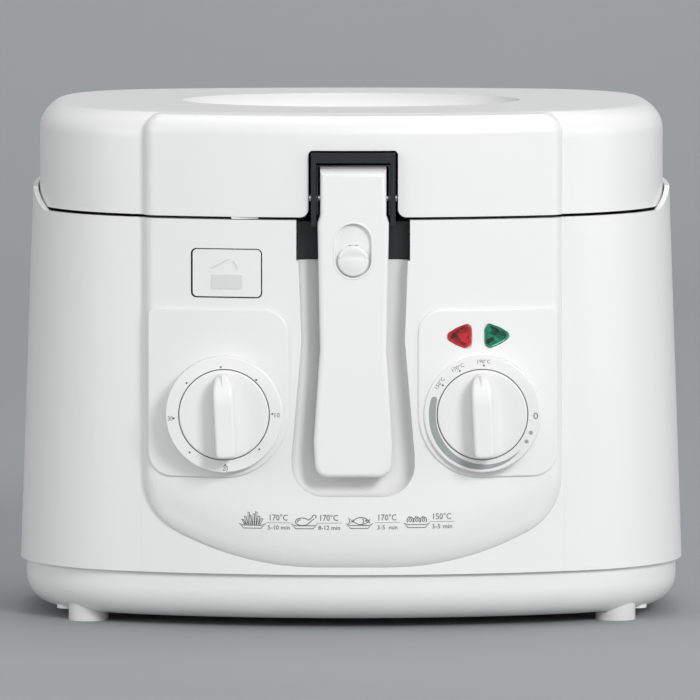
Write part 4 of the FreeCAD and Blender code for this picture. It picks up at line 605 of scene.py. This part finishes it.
class FRYER_OT_handle(bpy.types.Operator):
    """Basket handle, its lock and the black bracket"""

    bl_idname = "fryer.handle"
    bl_label = "Handle"

    def execute(self, context):
        for node in ("handle_shell", "handle_back"):
            merged_copy(node, white_plastic())
        merged_copy("lock_button", white_plastic(), angle=24.0, work=self.thumb_ledge)
        merged_copy("handle_bracket", black_plastic())
        for node in ("pivot_pin", "lock_bolt", "hinge_pin", "base_screws"):
            merged_copy(node, bright_steel())
        seat_end, button_end = Vector((-75.2, -94.5, 179.3)) * MM, Vector((-75.2, -104.0, 179.3)) * MM
        merged_copy("latch_spring", bright_steel(), spring=("body", "release", seat_end, button_end))
        self.slot_bead()
        self.lock_ridge()
        self.bracket_lip()
        return {"FINISHED"}

    @staticmethod
    def thumb_ledge(made):
        """Scoop the lock above its middle, so that a ledge stands for the thumb."""
        s = sizes()
        ledge, scoop_level, scoop, skin = 0.7 * MM, 1.2 * MM, 0.9 * MM, 0.5 * MM
        for rise in (ledge, scoop_level):
            bmesh.ops.bisect_plane(made, geom=everything(made), plane_co=(0, 0, s.lock_height + rise),
                                   plane_no=(0, 0, 1), dist=HAIR)
        for vert in made.verts:
            level = abs(vert.co.z - s.lock_height - scoop_level) < SNAP
            if level and vert.co.y < s.lock_face + skin:
                vert.co.y += scoop

    def bracket_lip(self):
        """Thin lip round the inner edge of the bracket's arch."""
        half, low, high = 17.9, 209, 233.6
        thick, face = 0.9 * MM, -123.5 * MM
        made = strokes("bracket_lip", [[(-half, low), (-half, high), (half, high), (half, low)]], thick, 2)
        bmesh.ops.transform(made, matrix=front_plane(0, face, 0), verts=made.verts)
        piece("bracket_lip", made, black_plastic(), "body")

    def slot_bead(self):
        """Low soft bead round the slot of the lock."""
        s = sizes()
        slot_half, half, thick = 9.0, 9.5, 1.1 * MM
        straight = s.slot_length / MM / 2 - slot_half
        crown = arc(0, straight, half, half, 0, 180, 18)
        heel = arc(0, -straight, half, half, 180, 360, 18)
        made = strokes("lock_bead", [crown + heel + crown[:1]], thick, 3)
        bmesh.ops.transform(made, matrix=front_plane(0, s.handle_face, s.slot_height), verts=made.verts)
        piece("lock_bead", made, white_plastic(), "handle")

    def lock_ridge(self):
        """Thumb ridge of the lock: a low dome cut off above its middle."""
        s = sizes()
        ball, rise, root, brow = 20.0 * MM, 1.0 * MM, 0.1 * MM, 0.7 * MM
        centre = Vector((0, s.lock_face, s.lock_height))
        made = bmesh.new()
        bmesh.ops.create_uvsphere(made, u_segments=96, v_segments=96, radius=ball)
        bmesh.ops.translate(made, verts=made.verts, vec=centre + Vector((0, ball - rise, 0)))
        for spot, normal in ((centre + Vector((0, root, 0)), (0, 1, 0)),
                             (centre + Vector((0, 0, brow)), (0, 0, 1))):
            bmesh.ops.bisect_plane(made, geom=everything(made), plane_co=spot, plane_no=normal,
                                   clear_outer=True)
        bmesh.ops.holes_fill(made, edges=[e for e in made.edges if e.is_boundary], sides=0)
        item = piece("lock_ridge", made, white_plastic(), "lock")
        item.data.set_sharp_from_angle(angle=math.radians(30))


class FRYER_OT_controls(bpy.types.Operator):
    """Knobs, shafts, lenses and the parts behind the panel"""

    bl_idname = "fryer.controls"
    bl_label = "Controls"

    def execute(self, context):
        for node, side in (("timer_knob", -1), ("thermostat_knob", 1)):
            merged_copy(node, white_plastic(), angle=34.0,
                        work=lambda made, side=side: self.new_grip(made, side))
        for node in ("timer_shaft", "thermostat_shaft", "thermostat_bulb", "heating_element", "heat_shield"):
            merged_copy(node, bright_steel())
        dark = finish("Control case plastic", (0.05, 0.05, 0.055), rough=(0.45, 0.6), scale=900.0, bump=0.06)
        for node in ("timer_body", "thermostat_body", "thermal_fuse", "terminal_block", "cord_gland"):
            merged_copy(node, dark)
        for word, colour, way in (("red", colours().red, 1), ("green", colours().green, -1)):
            rim = finish(word.capitalize() + " lens rim", colour, rough=(0.24, 0.34), scale=300.0, bump=0.0)
            # the facets' colour holds painted shade and painted highlight: cells of dark and light red or
            # green
            facets = facet_shade_finish(word.capitalize() + " lens facets with painted shade and highlight", colour)
            merged_copy(word + "_lens", rim, facets, white_plastic(),
                        work=lambda made, way=way: self.round_lens(made, way))
        neon = finish("Neon lamp glass", (0.8, 0.6, 0.5), rough=(0.1, 0.2), scale=300.0, bump=0.02)
        merged_copy("neon_lamps", neon)
        return {"FINISHED"}

    @staticmethod
    def new_grip(made, side):
        """Give a knob its soft grip with a keeled tip, in place of the moulded block on its disc."""
        s = sizes()
        above_disc, root, edge = 0.1 * MM, 0.3 * MM, 1.6 * MM
        heel, nose = (-18.4, 2.4, 2.4), (10.0, 4.3, 10.9)  # height of the middle and the two radii, in mm
        taper_from, taper_to, taper = 5, 21, 0.25  # heights in mm, and the share of depth lost at the tip
        keel_lean, keel_place = math.radians(77.0), (0, 12.6 * MM, 5.4 * MM)
        block = [f for f in made.faces if min(v.co.y for v in f.verts) < s.knob_face - above_disc]
        bmesh.ops.delete(made, geom=block, context="FACES")
        bmesh.ops.holes_fill(made, edges=[e for e in made.edges if e.is_boundary], sides=0)
        outline = (arc(2.6, *heel, -90, 0, 8) + arc(0.7, *nose, 0, 90, 16)
                   + arc(-0.7, *nose, 90, 180, 16) + arc(-2.6, *heel, 180, 270, 8))
        deep = s.knob_face - s.grip_face + root
        grip = slab("grip", outline, deep, edge)
        for up in range(taper_from, taper_to):
            bmesh.ops.bisect_plane(grip, geom=everything(grip), plane_co=(0, up * MM, 0), plane_no=(0, 1, 0),
                                   dist=HAIR)
        for vert in grip.verts:
            share = max(vert.co.y - taper_from * MM, 0.0) / ((taper_to - taper_from) * MM)
            vert.co.z = (vert.co.z + deep / 2) * (1 - taper * share ** 2) - deep / 2
        keel = bmesh.ops.create_cone(grip, cap_ends=True, segments=4, radius1=2.1 * MM, radius2=0.05 * MM,
                                     depth=16.0 * MM)["verts"]
        lean = Matrix.Rotation(keel_lean, 4, "X")
        bmesh.ops.transform(grip, matrix=Matrix.Translation(keel_place) @ lean, verts=keel)
        bmesh.ops.recalc_face_normals(grip, faces=grip.faces)
        stand = front_plane(side * s.dial_offset, s.grip_face + deep / 2, s.dial_height, s.grip_turn)
        bmesh.ops.transform(grip, matrix=stand, verts=grip.verts)
        for face in grip.faces:
            face.smooth = True
        add_to(made, grip)

    @staticmethod
    def round_lens(made, way):
        """Stand a soft three-cornered lens with a faceted face on the moulded one, its white seat."""
        facets, seat = 1, 2  # material slots; the rim has the first
        base, tip, spread = 3.1, 3.3, 117  # radii of the corners in mm, and the degrees where they meet
        deep, edge, rim, sunk, lift = 1.6 * MM, 0.5 * MM, 0.5 * MM, -0.2 * MM, 0.05 * MM
        seat_back, outward = 0.5 * MM, -0.9
        across, up = [v.co.x for v in made.verts], [v.co.z for v in made.verts]
        bmesh.ops.translate(made, verts=made.verts, vec=(0, seat_back, 0))
        for face in made.faces:
            face.material_index = seat
        outline = (arc(2.8, -2.8, base, base, -spread, 0) + arc(2.8, 2.8, base, base, 0, spread)
                   + arc(-2.6, 0, tip, tip, spread, 360 - spread))
        lens = slab("lens", [(way * x, y) for x, y in outline], deep, edge)
        lay_on_front(lens, (min(across) + max(across)) / 2, (min(up) + max(up)) / 2, lift)
        bmesh.ops.recalc_face_normals(lens, faces=lens.faces)
        front = [face for face in lens.faces if face.normal.y < outward]
        bmesh.ops.inset_region(lens, faces=front, thickness=rim, depth=sunk, use_even_offset=True)
        for face in lens.faces:
            face.smooth = True
        # the sunk front face takes the cells of painted shade and painted highlight
        for face in front:
            face.material_index = facets
        add_to(made, lens)


class FRYER_OT_scales(bpy.types.Operator):
    """Printed scales round the two knobs"""

    bl_idname = "fryer.scales"
    bl_label = "Dial scales"

    def execute(self, context):
        s = sizes()
        small_dot, large_dot, large_ring = 0.5 * MM, 1.0 * MM, 25.8 * MM
        offset = (-0.5 * MM, -0.7 * MM)  # the timer's scale is printed a little off its axis
        made = bmesh.new()
        for step in range(8):
            dot(made, small_dot, front_plane(*dial_spot(-1, 45 * step - 2.5, s.dot_ring, offset)))
        piece("timer_dots", made, fine_ink(), "body", smooth=False)
        for clock, text, ring in ((89, "10", 27.0), (177.5, "20", 26.2), (267.5, "30", 26.3)):
            lettering("timer_mark_" + text, text, 2.3 * MM, 2.6 * MM,
                      front_plane(*dial_spot(-1, clock, ring * MM, offset)))
        lettering("heat_mark_0", "0", 3.3 * MM, 2.4 * MM, front_plane(*dial_spot(1, 91.5, s.word_ring)))
        made = bmesh.new()
        for clock in (110.6, 121.5):
            dot(made, large_dot, front_plane(*dial_spot(1, clock, large_ring)))
        piece("heat_spots", made, broad_ink(), "body", smooth=False)
        made = bmesh.new()
        for clock, text in ((1.5, "190°C"), (332.5, "170°C"), (306.5, "150°C")):
            dot(made, small_dot, front_plane(*dial_spot(1, clock, s.dot_ring)))
            turn = math.radians(360 - clock) if clock > 180 else 0.0
            lettering("heat_mark_" + text[:3], text, 2.0 * MM, 6.4 * MM,
                      front_plane(*dial_spot(1, clock, s.word_ring), turn))
        piece("heat_dots", made, fine_ink(), "body", smooth=False)
        self.crescent()
        return {"FINISHED"}

    def crescent(self):
        """Grey arc that swells clockwise and ends round, swept as a bevelled curve of changing width.

        Each knot is degrees clockwise from the top, then the radius and the half width in millimetres.
        """
        knots = ((133.5, 25.9, 0.05), (150, 26.2, 0.62), (180, 26.3, 1.32), (215, 25.9, 1.65),
                 (245, 25.3, 1.78), (270, 25.0, 1.76), (285, 25.2, 1.62), (288, 25.3, 1.45),
                 (289.6, 25.35, 1.1), (290.6, 25.4, 0.4))
        degrees_a_step, flatten = 2.5, 0.03
        spots = []
        for first, second in zip(knots, knots[1:]):
            steps = max(2, round((second[0] - first[0]) / degrees_a_step))
            spots += [[a + (b - a) * step / steps for a, b in zip(first, second)] for step in range(steps)]
        spots.append(knots[-1])
        curve = bpy.data.curves.new("crescent", "CURVE")
        curve.dimensions = "3D"
        curve.bevel_depth = 1.0 * MM
        curve.bevel_resolution = 3
        spline = curve.splines.new("POLY")
        spline.points.add(len(spots) - 1)
        for spot, (clock, radius, half) in zip(spline.points, spots):
            turn = math.radians(clock)
            spot.co = (radius * MM * math.sin(turn), radius * MM * math.cos(turn), 0, 1)
            spot.radius = half
        made = curve_mesh(curve)
        bmesh.ops.scale(made, vec=(1, 1, flatten), verts=made.verts)
        bmesh.ops.transform(made, matrix=front_plane(*dial_spot(1, 0, 0)), verts=made.verts)
        piece("heat_crescent", made, broad_ink(), "body", smooth=False)


class FRYER_OT_guide(bpy.types.Operator):
    """Cooking guide on the chin: four pictograms with temperature and minutes, drawn in millimetres"""

    bl_idname = "fryer.guide"
    bl_label = "Cooking guide"

    def execute(self, context):
        dish = [(-6.7, -1.5), (-4.4, -4.0), (4.2, -4.0), (6.7, -1.5), (4.6, -2.5), (-4.6, -2.5), (-6.7, -1.5)]
        fries = [[(foot, -2.2), (foot + lean, top), (foot + lean + 0.85, top - 0.25), (foot + 0.8, -2.2)]
                 for foot, lean, top in ((-3.9, -1.6, 0.5), (-3.0, -1.1, 2.1), (-2.0, -0.3, 4.0),
                                         (-1.0, -0.6, 2.6), (0.0, 0.3, 3.3), (1.0, 0.5, 4.3),
                                         (2.0, 0.9, 2.2), (2.9, 1.5, 1.0))]
        leg = [arc(-1.2, -0.5, 3.4, 1.9, 25, 335), [(1.9, 0.3), (4.0, 1.9)], [(1.9, -1.3), (4.7, 1.0)],
               arc(4.9, 2.1, 0.9, 0.8, -70, 200), arc(-1.6, -0.5, 2.0, 1.0, 100, 200)]
        fish = [arc(0.8, -1.9, 4.4, 3.4, 10, 165), arc(0.8, 1.3, 4.4, 3.3, 195, 350),
                [(-3.4, -0.4), (-5.5, 1.4), (-4.8, -0.3), (-5.5, -1.7), (-3.4, -0.4)],
                arc(3.4, -0.1, 0.35, 0.35, 0, 360), arc(1.3, -0.3, 0.8, 1.3, -80, 80)]
        rolls = [line for i in range(3) for line in (
            arc(-3.3 + 3.3 * i, -0.3, 1.6, 1.6, -40, 220), arc(-3.3 + 3.3 * i, -0.2, 0.7, 0.7, 0, 360),
            [(-4.1 + 3.3 * i, 1.6), (-2.6 + 3.3 * i, 0.9)])]
        rows = ((fries, -50.3, -37.2, "170°C", "5-10 min", 0.0, 10.8),
                (leg, -24.3, -12.0, "170°C", "8-12 min", 0.0, 10.8),
                (fish, 3.1, 17.1, "170°C", "3-5  min", 0.2, 10.0),
                (rolls, 31.8, 44.5, "150°C", "3-5 min", 0.5, 10.0))
        icon_up, heat_up, time_down = 1.1 * MM, 2.7 * MM, 2.35 * MM
        icon_pen, line_pen, line = 0.4 * MM, 0.24 * MM, [(-6.3, 0), (6.3, 0)]
        heat_high, heat_wide, time_high = 3.2 * MM, 8.9 * MM, 2.2 * MM
        line_lift, word_lift = 0.1 * MM, 0.08 * MM
        for index, (drawing, icon_x, word_x, heat, time, rise, time_wide) in enumerate(rows, start=1):
            up = sizes().guide_height + rise * MM
            made = strokes("guide_icon_%d" % index, [dish] + drawing, icon_pen)
            lay_on_front(made, icon_x * MM, up + icon_up, line_lift)
            piece("guide_icon_%d" % index, made, fine_ink(), "body", smooth=False)
            made = strokes("guide_line_%d" % index, [line], line_pen)
            bmesh.ops.subdivide_edges(made, edges=made.edges[:], cuts=6)
            lay_on_front(made, word_x * MM, up, line_lift)
            piece("guide_line_%d" % index, made, broad_ink(), "body", smooth=False)
            made = words(heat, heat_high, heat_wide)
            lay_on_front(made, word_x * MM, up + heat_up, word_lift)
            piece("guide_heat_%d" % index, made, fine_ink(), "body", smooth=False)
            made = words(time, time_high, time_wide * MM)
            lay_on_front(made, word_x * MM, up - time_down, word_lift)
            piece("guide_time_%d" % index, made, fine_ink(), "body", smooth=False)
        return {"FINISHED"}


class FRYER_OT_icon(bpy.types.Operator):
    """Embossed open-box sign on the release button, painted a darker grey as its shade"""

    bl_idname = "fryer.icon"
    bl_label = "Release sign"

    def execute(self, context):
        sunk, button_proud, height = -0.05 * MM, 0.5 * MM, 0.4 * MM
        box, lid_long, lid_short = (
            (-7.5, 7.8, -7.8, -0.7, 0.0), (-8.6, 1.8, 4.5, 5.2, 28.0), (2.2, 6.9, 3.9, 4.5, -61.0))
        made = bmesh.new()
        for left, right, low, high, turn in (box, lid_long, lid_short):
            block = bmesh.ops.create_grid(made, x_segments=8, y_segments=2, size=0.5)["verts"]
            shape = Matrix.Diagonal(((right - left) * MM, (high - low) * MM, 1, 1))
            centre = Matrix.Translation(((left + right) / 2 * MM, (low + high) / 2 * MM, 0))
            bmesh.ops.transform(made, matrix=centre @ Matrix.Rotation(math.radians(turn), 4, "Z") @ shape,
                                verts=block)
        thicken(made, made.faces[:], height)
        lay_on_front(made, sizes().button_x, sizes().button_height, sunk, button_proud)
        # the sign's grey is painted shade: the emboss is the same white plastic, coloured darker so its
        # relief shows
        shade = finish("Emboss with painted shade", (0.70, 0.705, 0.70), rough=(0.4, 0.5), scale=1400.0, bump=0.02)
        piece("release_sign", made, shade, "release", smooth=False)
        return {"FINISHED"}


class FRYER_OT_inside(bpy.types.Operator):
    """Pot, basket, seal, filter and window"""

    bl_idname = "fryer.inside"
    bl_label = "Inside"

    def execute(self, context):
        coating = finish("Non-stick coating", (0.03, 0.03, 0.032), rough=(0.35, 0.5), scale=2200.0, bump=0.15)
        merged_copy("inner_pot", coating)
        wire = finish("Plated wire", (0.66, 0.66, 0.67), rough=(0.12, 0.22), scale=500.0, bump=0.02,
                      metal=1.0)
        for node in ("basket_mesh", "basket_rim", "basket_feet", "basket_hanger"):
            merged_copy(node, wire)
        rubber = finish("Seal rubber", (0.42, 0.42, 0.41), rough=(0.6, 0.75), scale=900.0, bump=0.1)
        merged_copy("lid_seal", rubber)
        felt = finish("Filter felt", (0.12, 0.12, 0.12), rough=(0.85, 0.95), scale=1500.0, bump=0.6)
        merged_copy("vent_filter", felt)
        glass = finish("Smoked glass", (0.02, 0.022, 0.024), rough=(0.04, 0.08), scale=300.0, bump=0.0,
                       transmission=0.35)
        merged_copy("window_glass", glass)
        return {"FINISHED"}


class FRYER_OT_stage(bpy.types.Operator):
    """Floor sweep, lamps and the camera at the photo's angle"""

    bl_idname = "fryer.stage"
    bl_label = "Stage"

    def execute(self, context):
        scene = context.scene
        scene.view_settings.view_transform = "Standard"
        self.sweep(scene)
        world = bpy.data.worlds.new("Studio")
        scene.world = world
        world.use_nodes = True
        back = world.node_tree.nodes["Background"]
        back.inputs["Color"].default_value = (0.80, 0.80, 0.81, 1.0)
        back.inputs["Strength"].default_value = 0.37
        for name, place, aim, energy, wide in (
                ("key", (1.3, -2.8, 1.55), (0, 0, 0.13), 54.5, 0.8),
                ("front", (0.0, -3.6, 1.2), (0, 0, 0.12), 16.0, 1.8),
                ("fill", (-2.4, -1.4, 0.8), (0, 0, 0.11), 23.0, 1.8),
                ("side", (2.4, -0.8, 0.6), (0, 0, 0.08), 16.0, 1.6),
                ("top", (0.2, 0.4, 2.3), (0, 0, 0.15), 19.0, 1.6),
                ("backdrop", (0.1, 2.2, 2.0), (0.1, 3.0, 0.2), 17.0, 1.2)):
            lamp = bpy.data.lights.new(name, "AREA")
            lamp.energy = energy
            lamp.size = wide
            self.stand(scene, bpy.data.objects.new(name, lamp), place, aim)
        camera = bpy.data.cameras.new("camera")
        camera.sensor_width = 36.0
        camera.lens = 635.0
        camera.clip_end = 50.0
        eye = bpy.data.objects.new("camera", camera)
        self.stand(scene, eye, (-0.055, -6.26, 0.642), (-0.0016, -0.12, 0.1413))
        scene.camera = eye
        return {"FINISHED"}

    @staticmethod
    def stand(scene, item, place, aim):
        """Put a lamp or the camera in its place, looking at its aim."""
        item.location = place
        item.rotation_euler = (Vector(aim) - Vector(place)).to_track_quat("-Z", "Y").to_euler()
        scene.collection.objects.link(item)

    def sweep(self, scene):
        """Plain floor that curves up into the backdrop."""
        half, bend, radius, wall = 4.0, 2.0, 1.6, 3.0
        made = bmesh.new()
        bmesh.ops.create_grid(made, x_segments=2, y_segments=2, size=half)
        bmesh.ops.translate(made, verts=made.verts, vec=(0, bend - half, 0))
        edges = [e for e in made.edges if all(v.co.y > bend - 0.01 for v in e.verts)]
        turned = bmesh.ops.spin(made, geom=edges, cent=(0, bend, radius), axis=(1, 0, 0),
                                angle=math.radians(90), steps=24)
        last = [e for e in turned["geom_last"] if isinstance(e, bmesh.types.BMEdge)]
        grown = bmesh.ops.extrude_edge_only(made, edges=last)
        moved = [v for v in grown["geom"] if isinstance(v, bmesh.types.BMVert)]
        bmesh.ops.translate(made, verts=moved, vec=(0, 0, wall))
        mesh = bpy.data.meshes.new("floor")
        for face in made.faces:
            face.smooth = True
        made.to_mesh(mesh)
        made.free()
        floor = bpy.data.objects.new("floor", mesh)
        scene.collection.objects.link(floor)
        mesh.materials.append(self.paper())

    def paper(self):
        """Pale paper that is clear from behind, so that the object shows from every side."""
        material = finish("Pale paper", (0.325, 0.34, 0.343), rough=(0.8, 0.9), scale=40.0, bump=0.0)
        tree = material.node_tree
        side = tree.nodes.new("ShaderNodeNewGeometry")
        clear = tree.nodes.new("ShaderNodeBsdfTransparent")
        choice = tree.nodes.new("ShaderNodeMixShader")
        tree.links.new(side.outputs["Backfacing"], choice.inputs["Fac"])
        tree.links.new(tree.nodes["Principled BSDF"].outputs["BSDF"], choice.inputs[1])
        tree.links.new(clear.outputs["BSDF"], choice.inputs[2])
        tree.links.new(choice.outputs["Shader"], tree.nodes["Material Output"].inputs["Surface"])
        return material


OPERATORS = (FRYER_OT_shell, FRYER_OT_handle, FRYER_OT_controls, FRYER_OT_scales, FRYER_OT_guide,
             FRYER_OT_icon, FRYER_OT_inside, FRYER_OT_stage)


class FRYER_PT_panel(bpy.types.Panel):
    """Steps that dress the fryer"""

    bl_idname = "FRYER_PT_panel"
    bl_label = "Deep fryer"
    bl_space_type = "VIEW_3D"
    bl_region_type = "UI"
    bl_category = "Fryer"

    def draw(self, context):
        for step in OPERATORS:
            self.layout.operator(step.bl_idname)


CLASSES = (FryerSizes, FryerColours) + OPERATORS + (FRYER_PT_panel,)


def register():
    for item in CLASSES:
        bpy.utils.register_class(item)
    bpy.types.Scene.fryer_sizes = PointerProperty(type=FryerSizes)
    bpy.types.Scene.fryer_colours = PointerProperty(type=FryerColours)


def unregister():
    del bpy.types.Scene.fryer_sizes
    del bpy.types.Scene.fryer_colours
    for item in reversed(CLASSES):
        bpy.utils.unregister_class(item)


def main():
    register()
    bpy.ops.fryer.shell()
    bpy.ops.fryer.handle()
    bpy.ops.fryer.controls()
    bpy.ops.fryer.scales()
    bpy.ops.fryer.guide()
    bpy.ops.fryer.icon()
    bpy.ops.fryer.inside()
    bpy.ops.fryer.stage()


if __name__ == "__main__":
    main()
